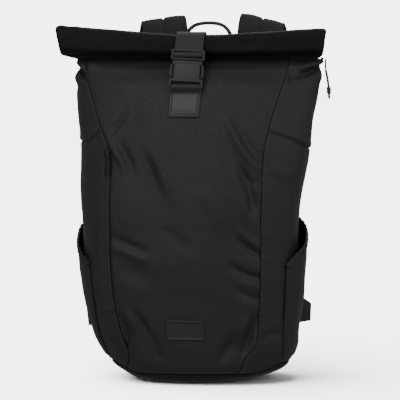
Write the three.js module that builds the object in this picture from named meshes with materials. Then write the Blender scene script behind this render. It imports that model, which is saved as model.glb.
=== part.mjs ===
// A rolltop backpack that stands on its base: a cloth bag sewn from a base, front, side and
// back panels, a collar rolled up over its mouth, a webbing strap with a side-release buckle
// that holds the roll down, two open side pockets and a pair of padded shoulder straps.
// Millimetres, +Z up, front towards -Y. The bag stands on Z = 0.
import * as THREE from "three";

// Bag
const SEAM_HEIGHT = 418; // where the panels end and the collar starts
const BAG_WIDTH = 300; // across the waist
const BAG_DEPTH = 140; // front to back at the belly
const CLOTH = 1.8; // coated nylon with its lining
const BACK_PAD = 6; // foam back panel
const SEAM_GAP = 0.4; // between two sewn pieces
const BASE_SEAM = 26; // height of the seam round the base panel
const BASE_CLOTH = 2.4;

// Rolled collar
const NECK_HEIGHT = 436; // where front and back wall meet
const NECK_Y = 8;
const ROLL_HEIGHT = 47;
const ROLL_THICKNESS = 30;
const ROLL_HALF_TURNS = 5;
const LAYER_GAP = 0.6; // between the two walls inside the roll
const TURN_GAP = 0.8; // between one turn and the next
const ROLL_REACH = 184; // half the roll's length
const SQUEEZE_LEFT = 1.0; // how tall the roll stands at its left end, in its middle and at its right end
const SQUEEZE_MIDDLE = 0.66;
const SQUEEZE_RIGHT = 0.88;

// Closure strap and buckle
const WEBBING = 38;
const WEBBING_THICKNESS = 1.6;
const STRAP_LEAN = 0.055; // sideways run of the strap for each millimetre that it drops
const STRAP_SEWN = 44; // how much of it is sewn down on the back panel
const BUCKLE_WIDTH = 45;
const BUCKLE_THICKNESS = 7;
const LOCK_THICKNESS = 3.6;
const LOWER_LENGTH = 38; // housing
const BUCKLE_GAP = 0.5;
const SLOT = 3.4;
const BAR = 2.6;
const BUCKLE_TILT = 19; // degrees that the buckle leans back from upright
const BUCKLE_STANDOFF = 9; // from the bag's front to the middle of the housing's lower bar
const PATCH_HEIGHT = 45;
const PATCH_WIDTH = 42;
const PATCH_THICKNESS = 2;
const PATCH_BOTTOM = 357;
const BUCKLE_FOOT = 392.5; // height of the housing's lower bar, over the patch's upper edge

// Label near the base
const LABEL_WIDTH = 53;
const LABEL_HEIGHT = 28;
const LABEL_CORNER = 6;
const LABEL_THICKNESS = 1.2;
const LABEL_BOTTOM = 62;

// Zip beside the left front seam
const ZIP_WIDTH = 14; // with the flap over its teeth
const ZIP_THICKNESS = 1.6;
const ZIP_BOTTOM = 100;
const ZIP_TOP = 318;
const ZIP_FROM_SEAM = 0.6; // between the strip and the seam
const SLIDER_FROM_SEAM = 3; // the slider's middle, left of the seam
const SLIDER_LENGTH = 9;
const SLIDER_WIDTH = 8;
const SLIDER_THICKNESS = 3;
const PULL_LENGTH = 26;
const PULL_WIDTH = 7;
const PULL_THICKNESS = 1.8;
const PULL_STANDOFF = 0.9; // between the pull and the strip

// Side pockets
const POCKET_BULGE_LEFT = 8.5; // how far each pocket stands out at its fullest
const POCKET_BULGE_RIGHT = 11;
const POCKET_BOTTOM = 34;
const MOUTH_FRONT = 160; // height of the mouth's front and back end
const MOUTH_BACK = 224;
const POCKET_CLOTH = 1.6;

// Haul loop
const BACK_SHIFT = 22; // the soft back hangs this far to the right
const HAUL_SPAN = 53;
const HAUL_RISE = 25; // of its arch
const HAUL_TOP = 479;
const HAUL_WIDTH = 22;
const HAUL_THICKNESS = 4;
const HAUL_FEET = 44; // from foot to foot
const HAUL_SEWN = 20; // how much of each foot is sewn down
const HAUL_STANDOFF = 6; // from the back panel's face to the middle of the arch

// Shoulder straps
const STRAP_THICKNESS = 11;
const STRAP_SPACING = 132;
const STRAP_WIDTH = 62;
const LOWER_WEBBING = 25;
const ADJUSTER_WIDTH = 33;

// Wings that the straps' lower webbing is sewn to
const WING_SEAM = 0.872; // share of the half width where a wing leaves the side panel
const WING_BOTTOM = 66;
const WING_HEIGHT = 58;
const WING_TIP = 27;
const WING_REACH = 62;
const WING_THICKNESS = 3;

// Cord pull at the roll's right end
const TAB_THICKNESS = 2.4;
const TAB_WIDTH = 8;
const TAB_HEIGHT = 13;
const CORD = 2.2;
const BEAD_LENGTH = 9;
const BEAD_WIDTH = 6;
const BEAD_CLEARANCE = 0.35; // between the cord and the bead's bore

// Bag sections from the floor up. height is a share of SEAM_HEIGHT, left and right are shares of
// half of BAG_WIDTH, front and back are shares of BAG_DEPTH from the middle plane. square bends
// the outline from an ellipse (2) towards a rectangle. seamLeft and seamRight place the front
// seams as shares of left and right.
const SECTIONS = [
  { height: 0.0, left: 0.4, right: 0.48, front: 0.27, back: 0.4, square: 2.3, seamLeft: 0.8, seamRight: 0.6 },
  { height: 0.009, left: 0.52, right: 0.62, front: 0.38, back: 0.43, square: 2.4, seamLeft: 0.8, seamRight: 0.6 },
  { height: 0.034, left: 0.63, right: 0.78, front: 0.455, back: 0.445, square: 2.5, seamLeft: 0.8, seamRight: 0.58 },
  { height: 0.062, left: 0.715, right: 0.875, front: 0.49, back: 0.45, square: 2.6, seamLeft: 0.8, seamRight: 0.55 },
  { height: 0.115, left: 0.8, right: 0.945, front: 0.51, back: 0.455, square: 2.7, seamLeft: 0.684, seamRight: 0.566 },
  { height: 0.165, left: 0.855, right: 0.95, front: 0.52, back: 0.457, square: 2.8, seamLeft: 0.679, seamRight: 0.664 },
  { height: 0.27, left: 0.9, right: 0.965, front: 0.535, back: 0.457, square: 2.9, seamLeft: 0.714, seamRight: 0.677 },
  { height: 0.4, left: 0.94, right: 0.975, front: 0.543, back: 0.457, square: 3.0, seamLeft: 0.736, seamRight: 0.68 },
  { height: 0.58, left: 0.98, right: 1.0, front: 0.53, back: 0.457, square: 3.0, seamLeft: 0.724, seamRight: 0.666 },
  { height: 0.74, left: 0.985, right: 1.085, front: 0.475, back: 0.45, square: 2.8, seamLeft: 0.72, seamRight: 0.628 },
  { height: 0.842, left: 1.01, right: 1.12, front: 0.405, back: 0.42, square: 2.5, seamLeft: 0.785, seamRight: 0.656 },
  { height: 0.947, left: 1.035, right: 1.165, front: 0.285, back: 0.33, square: 2.2, seamLeft: 0.868, seamRight: 0.712 },
  { height: 1.0, left: 1.035, right: 1.185, front: 0.165, back: 0.235, square: 2.1, seamLeft: 0.9, seamRight: 0.74 },
];
const BACK_SEAM = 0.84; // share of the half width where the side panels meet the back panel

// Folds and dents of the front. x and z are shares of half of BAG_WIDTH and of SEAM_HEIGHT, angle
// is from upright in degrees, length and width are shares of BAG_WIDTH, depth is of BAG_DEPTH.
const FOLDS = [
  { x: 0.52, z: 0.62, angle: 33, length: 0.24, width: 0.045, depth: -0.03 },
  { x: 0.36, z: 0.66, angle: 31, length: 0.28, width: 0.06, depth: 0.022 },
  { x: 0.56, z: 0.47, angle: 52, length: 0.16, width: 0.045, depth: -0.022 },
  { x: 0.52, z: 0.33, angle: 58, length: 0.18, width: 0.05, depth: -0.024 },
  { x: -0.3, z: 0.62, angle: 35, length: 0.34, width: 0.06, depth: -0.024 },
  { x: -0.42, z: 0.36, angle: 62, length: 0.18, width: 0.045, depth: -0.02 },
  { x: -0.42, z: 0.16, angle: 38, length: 0.15, width: 0.04, depth: -0.03 },
  { x: 0.44, z: 0.14, angle: -32, length: 0.13, width: 0.035, depth: -0.034 },
  { x: -0.5, z: 0.84, angle: -30, length: 0.2, width: 0.05, depth: -0.022 },
];

// Collar between the panels and the neck. rise goes from 0 at the seam to 1 at the neck, and
// blend from the last section's depth to the flat neck. left and right are shares of ROLL_REACH.
const COLLAR = [
  { rise: 0.0, blend: 0.0, left: 0.844, right: 0.966 },
  { rise: 0.3, blend: 0.3, left: 0.842, right: 0.974 },
  { rise: 0.6, blend: 0.62, left: 0.842, right: 0.98 },
  { rise: 0.85, blend: 0.9, left: 0.848, right: 0.984 },
  { rise: 1.0, blend: 1.0, left: 0.86, right: 0.984 },
];
// Length of the cloth to each side along the roll, by half turns. Shares of ROLL_REACH.
const ROLL_ENDS = [
  { halfTurn: 0, left: 1.0, right: 0.984 },
  { halfTurn: 0.5, left: 0.96, right: 1.0 },
  { halfTurn: 1, left: 0.925, right: 0.985 },
  { halfTurn: 2, left: 0.93, right: 0.965 },
  { halfTurn: 3, left: 0.975, right: 0.98 },
  { halfTurn: 5, left: 0.94, right: 0.955 },
];

// Shoulder strap, from where it is sewn on to its lower end. out is how far it has run sideways, as
// a share of the way to the middle of its wing, height is a share of SEAM_HEIGHT, stand is the gap between the strap and
// the back panel and pad the strap's own thickness, both as shares of STRAP_THICKNESS. width is a
// share of STRAP_WIDTH, and tilt is how far the outer edge drops, in degrees.
const STRAP_ROUTE = [
  { out: 0.0, height: 0.925, stand: 0.0, width: 0.9, pad: 0.35, tilt: 0 },
  { out: 0.0, height: 0.975, stand: 0.0, width: 0.94, pad: 0.4, tilt: 0 },
  { out: 0.0, height: 1.03, stand: 0.15, width: 0.97, pad: 0.55, tilt: 3 },
  { out: 0.01, height: 1.09, stand: 0.5, width: 1.0, pad: 0.8, tilt: 8 },
  { out: 0.03, height: 1.135, stand: 1.4, width: 1.0, pad: 1.0, tilt: 10 },
  { out: 0.06, height: 1.152, stand: 2.6, width: 1.0, pad: 1.0, tilt: 10 },
  { out: 0.1, height: 1.13, stand: 3.8, width: 1.0, pad: 1.0, tilt: 9 },
  { out: 0.14, height: 1.075, stand: 4.6, width: 1.0, pad: 1.0, tilt: 6 },
  { out: 0.19, height: 0.995, stand: 4.75, width: 1.0, pad: 1.0, tilt: 3 },
  { out: 0.25, height: 0.88, stand: 3.2, width: 0.98, pad: 1.0, tilt: 1 },
  { out: 0.33, height: 0.75, stand: 2.2, width: 0.95, pad: 1.0, tilt: 0 },
  { out: 0.44, height: 0.61, stand: 1.7, width: 0.9, pad: 1.0, tilt: 0 },
  { out: 0.56, height: 0.49, stand: 1.4, width: 0.78, pad: 0.9, tilt: 0 },
  { out: 0.65, height: 0.43, stand: 1.25, width: 0.52, pad: 0.5, tilt: 0 },
];

// Route of the cord, from the tab's lower end to its own tip: x, y and z.
const CORD_ROUTE = [
  [ROLL_REACH - 1.3, 6.5, NECK_HEIGHT - 15.6],
  [ROLL_REACH + 0.6, 6.3, NECK_HEIGHT - 24.5],
  [ROLL_REACH + 2.3, 6.1, NECK_HEIGHT - 34.5],
  [ROLL_REACH + 3.3, 6.0, NECK_HEIGHT - 44.5],
  [ROLL_REACH + 3.7, 6.0, NECK_HEIGHT - 55.0],
];
const BEAD_AT = 0.72; // share of the cord's length where the bead sits

const HALF_WIDTH = BAG_WIDTH / 2;
const LAYER = 2 * CLOTH + LAYER_GAP; // both walls of the flattened collar
const PITCH = LAYER + TURN_GAP;
const FACE_GAP = 0.35; // between a piece and what it rests on

// Smooth value of one column of a table at a fractional row.
function smoothColumn(table, column, row) {
  const last = table.length - 1;
  const i = Math.min(Math.max(Math.floor(row), 0), last - 1);
  const t = row - i;
  const at = (k) => table[Math.min(Math.max(k, 0), last)][column];
  const slopeIn = (at(i + 1) - at(i - 1)) / 2;
  const slopeOut = (at(i + 2) - at(i)) / 2;
  const t2 = t * t;
  const t3 = t2 * t;
  return (
    (2 * t3 - 3 * t2 + 1) * at(i) +
    (t3 - 2 * t2 + t) * slopeIn +
    (3 * t2 - 2 * t3) * at(i + 1) +
    (t3 - t2) * slopeOut
  );
}

// Fractional row at which a rising column reaches a value.
function rowAt(table, column, value) {
  let low = 0;
  let high = table.length - 1;
  for (let i = 0; i < 40; i++) {
    const middle = (low + high) / 2;
    if (smoothColumn(table, column, middle) < value) low = middle;
    else high = middle;
  }
  return (low + high) / 2;
}

const rowAtHeight = (z) => rowAt(SECTIONS, "height", z / SEAM_HEIGHT);

// The bag's section at a fractional row, in millimetres.
function section(row) {
  const front = -smoothColumn(SECTIONS, "front", row) * BAG_DEPTH;
  const back = smoothColumn(SECTIONS, "back", row) * BAG_DEPTH;
  return {
    z: smoothColumn(SECTIONS, "height", row) * SEAM_HEIGHT,
    left: smoothColumn(SECTIONS, "left", row) * HALF_WIDTH,
    right: smoothColumn(SECTIONS, "right", row) * HALF_WIDTH,
    middle: (front + back) / 2,
    half: (back - front) / 2,
    square: smoothColumn(SECTIONS, "square", row),
  };
}

// How far the front's cloth moves in (-) or out (+) at a place on it.
function foldDepth(x, z) {
  let sum = 0;
  for (const fold of FOLDS) {
    const angle = THREE.MathUtils.degToRad(fold.angle);
    const dx = x - fold.x * HALF_WIDTH;
    const dz = z - fold.z * SEAM_HEIGHT;
    const along = (dz * Math.cos(angle) - dx * Math.sin(angle)) / (fold.length * BAG_WIDTH);
    const across = (dx * Math.cos(angle) + dz * Math.sin(angle)) / (fold.width * BAG_WIDTH);
    sum += fold.depth * BAG_DEPTH * Math.exp(-across * across - 4 * along * along);
  }
  return sum;
}

// A point of the bag's outside. turn is an angle round the section: 0 at the right side, a
// quarter turn at the back, half a turn at the left side and three quarters at the front.
function skin(turn, row) {
  const s = section(row);
  const c = Math.cos(turn);
  const n = Math.sin(turn);
  const power = 2 / s.square;
  const x = Math.sign(c) * Math.abs(c) ** power * (c < 0 ? s.left : s.right);
  let y = s.middle + Math.sign(n) * Math.abs(n) ** power * s.half;
  if (n < 0) y -= foldDepth(x, s.z) * Math.abs(n);
  return new THREE.Vector3(x, y, s.z);
}

// The skin moved along its own normal, outwards for a positive distance.
function skinOffset(turn, row, distance) {
  const step = 0.01;
  const last = SECTIONS.length - 1;
  const across = skin(turn + step, row).sub(skin(turn - step, row));
  const up = skin(turn, Math.min(row + step, last)).sub(skin(turn, Math.max(row - step, 0)));
  return skin(turn, row).addScaledVector(across.cross(up).normalize(), distance);
}

// Angle at which a side of the section reaches a share of its half width.
function turnAtShare(share, row, left, back) {
  const square = smoothColumn(SECTIONS, "square", row);
  const angle = Math.acos(Math.min(share, 1) ** (square / 2));
  if (back) return left ? Math.PI - angle : angle;
  return left ? Math.PI + angle : 2 * Math.PI - angle;
}

// Angle of the front at a place measured sideways from the middle.
function turnAtX(x, row) {
  const s = section(row);
  return turnAtShare(Math.abs(x) / (x < 0 ? s.left : s.right), row, x < 0, false);
}

// A solid between two surfaces that share their edges: outside(u, v) and inside(u, v), with u and
// v from 0 to 1. A ring closes on itself along u.
function solidBetween(outside, inside, stepsU, stepsV, ring = false) {
  const positions = [];
  const index = [];
  const columns = ring ? stepsU : stepsU + 1;
  for (const surface of [outside, inside]) {
    for (let j = 0; j <= stepsV; j++) {
      for (let i = 0; i < columns; i++) {
        const p = surface(i / stepsU, j / stepsV);
        positions.push(p.x, p.y, p.z);
      }
    }
  }
  const layer = columns * (stepsV + 1);
  const at = (side, i, j) => side * layer + j * columns + (i % columns);
  const quad = (a, b, c, d) => index.push(a, b, c, a, c, d);
  for (let j = 0; j < stepsV; j++) {
    for (let i = 0; i < stepsU; i++) {
      quad(at(0, i, j), at(0, i + 1, j), at(0, i + 1, j + 1), at(0, i, j + 1));
      quad(at(1, i, j), at(1, i, j + 1), at(1, i + 1, j + 1), at(1, i + 1, j));
    }
  }
  for (let i = 0; i < stepsU; i++) {
    quad(at(0, i, 0), at(1, i, 0), at(1, i + 1, 0), at(0, i + 1, 0));
    quad(at(0, i, stepsV), at(0, i + 1, stepsV), at(1, i + 1, stepsV), at(1, i, stepsV));
  }
  if (!ring) {
    for (let j = 0; j < stepsV; j++) {
      quad(at(0, 0, j), at(0, 0, j + 1), at(1, 0, j + 1), at(1, 0, j));
      quad(at(0, stepsU, j), at(1, stepsU, j), at(1, stepsU, j + 1), at(0, stepsU, j + 1));
    }
  }
  const geometry = new THREE.BufferGeometry();
  geometry.setAttribute("position", new THREE.Float32BufferAttribute(positions, 3));
  geometry.setIndex(index);
  geometry.computeVertexNormals();
  return geometry;
}

const FABRIC = { color: 0x2b2b2d, roughness: 0.85, metalness: 0 };
const MESH_PAD = { color: 0x1d1d1f, roughness: 0.95, metalness: 0 };
const WEB = { color: 0x3a3a3b, roughness: 0.7, metalness: 0 };
const PLASTIC = { color: 0x333335, roughness: 0.45, metalness: 0 };
const LEATHER = { color: 0x48484b, roughness: 0.5, metalness: 0 };
const RUBBER = { color: 0x1f1f20, roughness: 0.6, metalness: 0 };
const METAL = { color: 0x2a2a2c, roughness: 0.35, metalness: 0.8 };

const pack = new THREE.Group();

function addPiece(name, geometry, finish) {
  const mesh = new THREE.Mesh(geometry, new THREE.MeshStandardMaterial(finish));
  mesh.name = name;
  pack.add(mesh);
  return mesh;
}

const mix = THREE.MathUtils.lerp;
const TOP_ROW = SECTIONS.length - 1;
const PANEL_ROWS = 20; // the same for each panel, so that their edges run side by side
const BASE_ROW = rowAtHeight(BASE_SEAM);
const PANEL_ROW = rowAtHeight(BASE_SEAM + SEAM_GAP);

// A panel of the bag between two seam lines, each a function that gives a turn at a row.
function panel(name, from, to, steps, finish, { wall = CLOTH, out = 0 } = {}) {
  const place = (u, v, depth) => {
    const row = mix(PANEL_ROW, TOP_ROW, v);
    return skinOffset(mix(from(row), to(row), u), row, depth);
  };
  const geometry = solidBetween(
    (u, v) => place(u, v, out),
    (u, v) => place(u, v, out - wall),
    steps,
    PANEL_ROWS,
  );
  return addPiece(name, geometry, finish);
}

// Half of the seam gap as an angle, by the section's size.
const gapTurn = (row) => SEAM_GAP / 2 / section(row).half;
const seamLeft = (row) => turnAtShare(smoothColumn(SECTIONS, "seamLeft", row), row, true, false);
const seamRight = (row) => turnAtShare(smoothColumn(SECTIONS, "seamRight", row), row, false, false);
const backSeamLeft = (row) => turnAtShare(BACK_SEAM, row, true, true);
const backSeamRight = (row) => turnAtShare(BACK_SEAM, row, false, true);

function buildPanels() {
  panel("front_panel", (r) => seamLeft(r) + gapTurn(r), (r) => seamRight(r) - gapTurn(r), 16, FABRIC);
  panel("side_panel_left", (r) => backSeamLeft(r) + gapTurn(r), (r) => seamLeft(r) - gapTurn(r), 8, FABRIC);
  const rightFrom = (r) => seamRight(r) + gapTurn(r) - 2 * Math.PI;
  panel("side_panel_right", rightFrom, (r) => backSeamRight(r) - gapTurn(r), 8, FABRIC);
  const pad = { wall: CLOTH + BACK_PAD, out: BACK_PAD };
  panel("back_panel", (r) => backSeamRight(r) + gapTurn(r), (r) => backSeamLeft(r) - gapTurn(r), 10, MESH_PAD, pad);
}

// The base is a dish: flat in the middle and curled up to the seam all round.
function buildBase() {
  const flat = 0.5; // share of the way to the seam that is flat on the floor
  const place = (u, v, depth) => {
    const across = 2 * u - 1;
    const along = 2 * v - 1;
    const reach = Math.max(Math.abs(across), Math.abs(along), 1e-9);
    const turn = Math.atan2(along, across);
    if (reach <= flat) {
      const rim = skin(turn, 0);
      const middle = section(0).middle;
      const share = reach / flat;
      return new THREE.Vector3(rim.x * share, middle + (rim.y - middle) * share, -depth);
    }
    const row = BASE_ROW * ((reach - flat) / (1 - flat));
    return skinOffset(turn, row, depth);
  };
  const geometry = solidBetween(
    (u, v) => place(u, 1 - v, 0),
    (u, v) => place(u, 1 - v, -BASE_CLOTH),
    10,
    10,
  );
  addPiece("base_panel", geometry, FABRIC);
}

// The roll is lower in the middle, where the strap holds it down.
function squeeze(point) {
  const end = point.x < 0 ? SQUEEZE_LEFT : SQUEEZE_RIGHT;
  const share = Math.min(Math.abs(point.x) / ROLL_REACH, 1);
  const tall = mix(SQUEEZE_MIDDLE, end, share ** 1.3);
  if (point.z > NECK_HEIGHT) point.z = NECK_HEIGHT + (point.z - NECK_HEIGHT) * tall;
  return point;
}

const ROLL_RADIUS = ROLL_THICKNESS / 2 - LAYER / 2;
const ROLL_Y = NECK_Y - ROLL_RADIUS;
const ROLL_LOW = NECK_HEIGHT + ROLL_RADIUS + LAYER / 2 + FACE_GAP;
const ROLL_HIGH = NECK_HEIGHT + ROLL_HEIGHT - ROLL_RADIUS - LAYER / 2;

// The collar's middle line, seen from the side: up the back of the roll, over its top, down its
// front and round again inside. Returns a list of places with the direction that faces back.
function rollLine() {
  const line = [];
  for (let half = 0; half < ROLL_HALF_TURNS; half++) {
    const over = half % 2 === 0;
    const arcSteps = half < 2 ? 5 : 3;
    const centre = over ? ROLL_HIGH : ROLL_LOW;
    for (let i = 0; i <= arcSteps; i++) {
      const share = i / arcSteps;
      const radius = ROLL_RADIUS - (PITCH / 2) * (half + share);
      const angle = Math.PI * (half + share);
      const away = new THREE.Vector2(Math.cos(angle), Math.sin(angle));
      line.push({
        y: ROLL_Y + radius * away.x,
        z: centre + radius * away.y,
        away,
        halfTurn: half + share,
      });
    }
  }
  return line;
}

// One place across the flattened cloth: side runs from -1 at the left to 1 at the right.
function acrossCloth(u) {
  const front = u < 0.5;
  const side = front ? -Math.cos(2 * Math.PI * u) : Math.cos(2 * Math.PI * (u - 0.5));
  return { front, side };
}

function buildCollar() {
  const top = section(TOP_ROW);
  const stations = [];
  const rows = 5;
  for (let i = 0; i < rows; i++) {
    const row = (i / (rows - 1)) * (COLLAR.length - 1);
    const rise = smoothColumn(COLLAR, "rise", row);
    const blend = smoothColumn(COLLAR, "blend", row);
    stations.push({
      y: mix(top.middle, NECK_Y, blend),
      z: mix(SEAM_HEIGHT + SEAM_GAP, NECK_HEIGHT, rise),
      away: new THREE.Vector2(1, 0),
      half: mix(top.half, LAYER / 2, blend),
      left: smoothColumn(COLLAR, "left", row) * ROLL_REACH,
      right: smoothColumn(COLLAR, "right", row) * ROLL_REACH,
      square: mix(top.square, 6, blend),
    });
  }
  for (const place of rollLine()) {
    const row = rowAt(ROLL_ENDS, "halfTurn", place.halfTurn);
    stations.push({
      ...place,
      half: LAYER / 2,
      left: smoothColumn(ROLL_ENDS, "left", row) * ROLL_REACH,
      right: smoothColumn(ROLL_ENDS, "right", row) * ROLL_REACH,
      square: 6,
    });
  }
  const last = stations.length - 1;
  const place = (u, v, inset) => {
    const s = stations[Math.round(v * last)];
    const { front, side } = acrossCloth(u);
    const reach = side < 0 ? s.left - inset : s.right - inset;
    const depth = (1 - Math.abs(side) ** s.square) ** (1 / s.square) * (s.half - inset);
    const d = front ? -depth : depth;
    return squeeze(new THREE.Vector3(side * reach, s.y + s.away.x * d, s.z + s.away.y * d));
  };
  const geometry = solidBetween(
    (u, v) => place(u, v, 0),
    (u, v) => place(u, v, CLOTH),
    20,
    last,
    true,
  );
  addPiece("roll_collar", geometry, FABRIC);
}

// A side pocket: an outer cloth sewn to the side panel at its front, back and bottom, with a
// mouth that rises from front to back.
function buildPocket(name, left) {
  const bulge = left ? POCKET_BULGE_LEFT : POCKET_BULGE_RIGHT;
  const frontShare = 0.9;
  const backShare = 0.9;
  const bottom = rowAtHeight(POCKET_BOTTOM);
  const edge = (row, back) => turnAtShare(back ? backShare : frontShare, row, left, back);
  const mouth = (u) => rowAtHeight(mix(MOUTH_FRONT, MOUTH_BACK, u ** 0.8));
  const place = (u, v, wall) => {
    const fromFront = left ? 1 - u : u;
    const row = mix(bottom, mouth(fromFront), v);
    const front = edge(row, false) - (left ? 0 : 2 * Math.PI);
    const turn = mix(front, edge(row, true), fromFront);
    const swell = Math.sin(Math.PI * fromFront) ** 0.7 * Math.sin((Math.PI / 2) * v) ** 0.8;
    return skinOffset(turn, row, FACE_GAP + bulge * swell + wall);
  };
  const geometry = solidBetween(
    (u, v) => place(u, v, POCKET_CLOTH),
    (u, v) => place(u, v, 0),
    10,
    9,
  );
  addPiece(name, geometry, FABRIC);
}

// A plate that lies on the bag's front, with its outline given as half widths by height.
function frontPlate(name, { centreX, bottom, height, halfWidth, thickness, finish, steps, rows }) {
  const place = (u, v, depth) => {
    const z = bottom + height * v;
    const row = rowAtHeight(z);
    const x = centreX(z) + (2 * u - 1) * halfWidth(v);
    return skinOffset(turnAtX(x, row), row, depth);
  };
  const geometry = solidBetween(
    (u, v) => place(u, v, FACE_GAP + thickness),
    (u, v) => place(u, v, FACE_GAP),
    steps,
    rows,
  );
  return addPiece(name, geometry, finish);
}

const strapX = (z) => (z - PATCH_BOTTOM) * STRAP_LEAN - 4;

function buildLabel() {
  const roundedHalf = (v) => {
    const fromEnd = Math.min(v, 1 - v) * LABEL_HEIGHT;
    const missing = LABEL_CORNER - Math.min(fromEnd, LABEL_CORNER);
    return LABEL_WIDTH / 2 - LABEL_CORNER + Math.sqrt(LABEL_CORNER ** 2 - missing ** 2);
  };
  frontPlate("front_label", {
    centreX: () => 0,
    bottom: LABEL_BOTTOM,
    height: LABEL_HEIGHT,
    halfWidth: roundedHalf,
    thickness: LABEL_THICKNESS,
    finish: RUBBER,
    steps: 5,
    rows: 10,
  });
}

// A flat band along a list of places. Each place has a point, the direction across the band, its
// width and its thickness. The band's edges are thinner than its middle by the share edge.
function band(places, steps, edge) {
  const last = places.length - 1;
  const place = (u, v, side) => {
    const i = Math.round(v * last);
    const here = places[i];
    const along = places[Math.min(i + 1, last)].point.clone().sub(places[Math.max(i - 1, 0)].point);
    const across = here.across.clone().addScaledVector(along, -here.across.dot(along) / along.lengthSq());
    across.normalize();
    const normal = across.clone().cross(along).normalize();
    const w = 2 * u - 1;
    const full = mix(1, edge, w ** 4);
    return here.point
      .clone()
      .addScaledVector(across, (w * here.width) / 2)
      .addScaledVector(normal, (side * full * here.thickness) / 2);
  };
  return solidBetween(
    (u, v) => place(u, v, 1),
    (u, v) => place(u, v, -1),
    steps,
    last,
  );
}

// Upright frame of the buckle: x across, y up along the strap and z away from the bag.
function buckleFrame() {
  const row = rowAtHeight(BUCKLE_FOOT);
  const foot = skinOffset(turnAtX(strapX(BUCKLE_FOOT), row), row, BUCKLE_STANDOFF);
  const frame = new THREE.Group();
  frame.position.copy(foot);
  frame.rotation.set(THREE.MathUtils.degToRad(90 - BUCKLE_TILT), 0, -Math.atan(STRAP_LEAN));
  frame.updateMatrix();
  return frame;
}

function slotHole(centreY, width, height) {
  const hole = new THREE.Path();
  hole.moveTo(-width / 2, centreY - height / 2);
  hole.lineTo(-width / 2, centreY + height / 2);
  hole.lineTo(width / 2, centreY + height / 2);
  hole.lineTo(width / 2, centreY - height / 2);
  hole.closePath();
  return hole;
}

function roundedOutline(width, bottom, top, corner) {
  const shape = new THREE.Shape();
  const x = width / 2;
  shape.moveTo(-x + corner, bottom);
  shape.lineTo(x - corner, bottom);
  shape.absarc(x - corner, bottom + corner, corner, -Math.PI / 2, 0);
  shape.lineTo(x, top - corner);
  shape.absarc(x - corner, top - corner, corner, 0, Math.PI / 2);
  shape.lineTo(-x + corner, top);
  shape.absarc(-x + corner, top - corner, corner, Math.PI / 2, Math.PI);
  shape.lineTo(-x, bottom + corner);
  shape.absarc(-x + corner, bottom + corner, corner, Math.PI, 1.5 * Math.PI);
  return shape;
}

function extrudeCentred(shape, thickness, bevel) {
  const geometry = new THREE.ExtrudeGeometry(shape, {
    depth: thickness - 2 * bevel,
    bevelEnabled: true,
    bevelThickness: bevel,
    bevelSize: bevel,
    bevelOffset: -bevel,
    bevelSegments: 1,
    curveSegments: 2,
  });
  geometry.translate(0, 0, bevel - thickness / 2);
  return geometry;
}

const buckle = buckleFrame();
const SLOT_CLEARANCE = 1; // a slot is this much wider than its webbing
const LOWER_SLOT = BAR + SLOT / 2; // height of the housing's slot above its lower edge
const UPPER_BOTTOM = LOWER_LENGTH + BUCKLE_GAP;
const LOCK_LENGTH = 3 * BAR + 2 * SLOT;
const FIRST_SLOT = LOCK_LENGTH - BAR - SLOT / 2; // above a lock's lower edge
const SECOND_SLOT = FIRST_SLOT - SLOT - BAR;

// A ladder lock: three bars with two slots between them, from a lower edge up.
function lockGeometry(width, webbing, bottom) {
  const outline = roundedOutline(width, bottom, bottom + LOCK_LENGTH, 2);
  outline.holes.push(slotHole(bottom + FIRST_SLOT, webbing + SLOT_CLEARANCE, SLOT));
  outline.holes.push(slotHole(bottom + SECOND_SLOT, webbing + SLOT_CLEARANCE, SLOT));
  return extrudeCentred(outline, LOCK_THICKNESS, 0.6);
}

// Adds the places of a webbing that comes in behind a ladder lock, goes forward through its first
// slot, over the middle bar and back through the second one. matrix is the lock's frame.
function threadLock(matrix, bottom, add) {
  const across = new THREE.Vector3().setFromMatrixColumn(matrix, 0);
  const put = (up, away) => add(new THREE.Vector3(0, bottom + up, away).applyMatrix4(matrix), across);
  const bend = 0.9; // how early the webbing turns into a slot
  const level = LOCK_THICKNESS / 2 + FACE_GAP + WEBBING_THICKNESS / 2;
  const passSlot = (slot, side) => {
    put(slot + SLOT / 2 - 0.3, side * level);
    put(slot + 0.1, side * (level - bend));
    put(slot, 0);
    put(slot - 0.1, -side * (level - bend));
    put(slot - SLOT / 2 + 0.3, -side * level);
  };
  put(LOCK_LENGTH + 1, -level);
  passSlot(FIRST_SLOT, -1);
  passSlot(SECOND_SLOT, 1);
  put(0.5, -level);
}

function buildBuckle() {
  const housing = roundedOutline(BUCKLE_WIDTH, 0, LOWER_LENGTH, 3);
  housing.holes.push(slotHole(LOWER_SLOT, WEBBING + SLOT_CLEARANCE, SLOT));
  const lower = addPiece("buckle_housing", extrudeCentred(housing, BUCKLE_THICKNESS, 0.8), PLASTIC);
  const upper = addPiece("buckle_ladder_lock", lockGeometry(BUCKLE_WIDTH, WEBBING, UPPER_BOTTOM), PLASTIC);
  buckle.add(lower, upper);
  pack.add(buckle);
}

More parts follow.
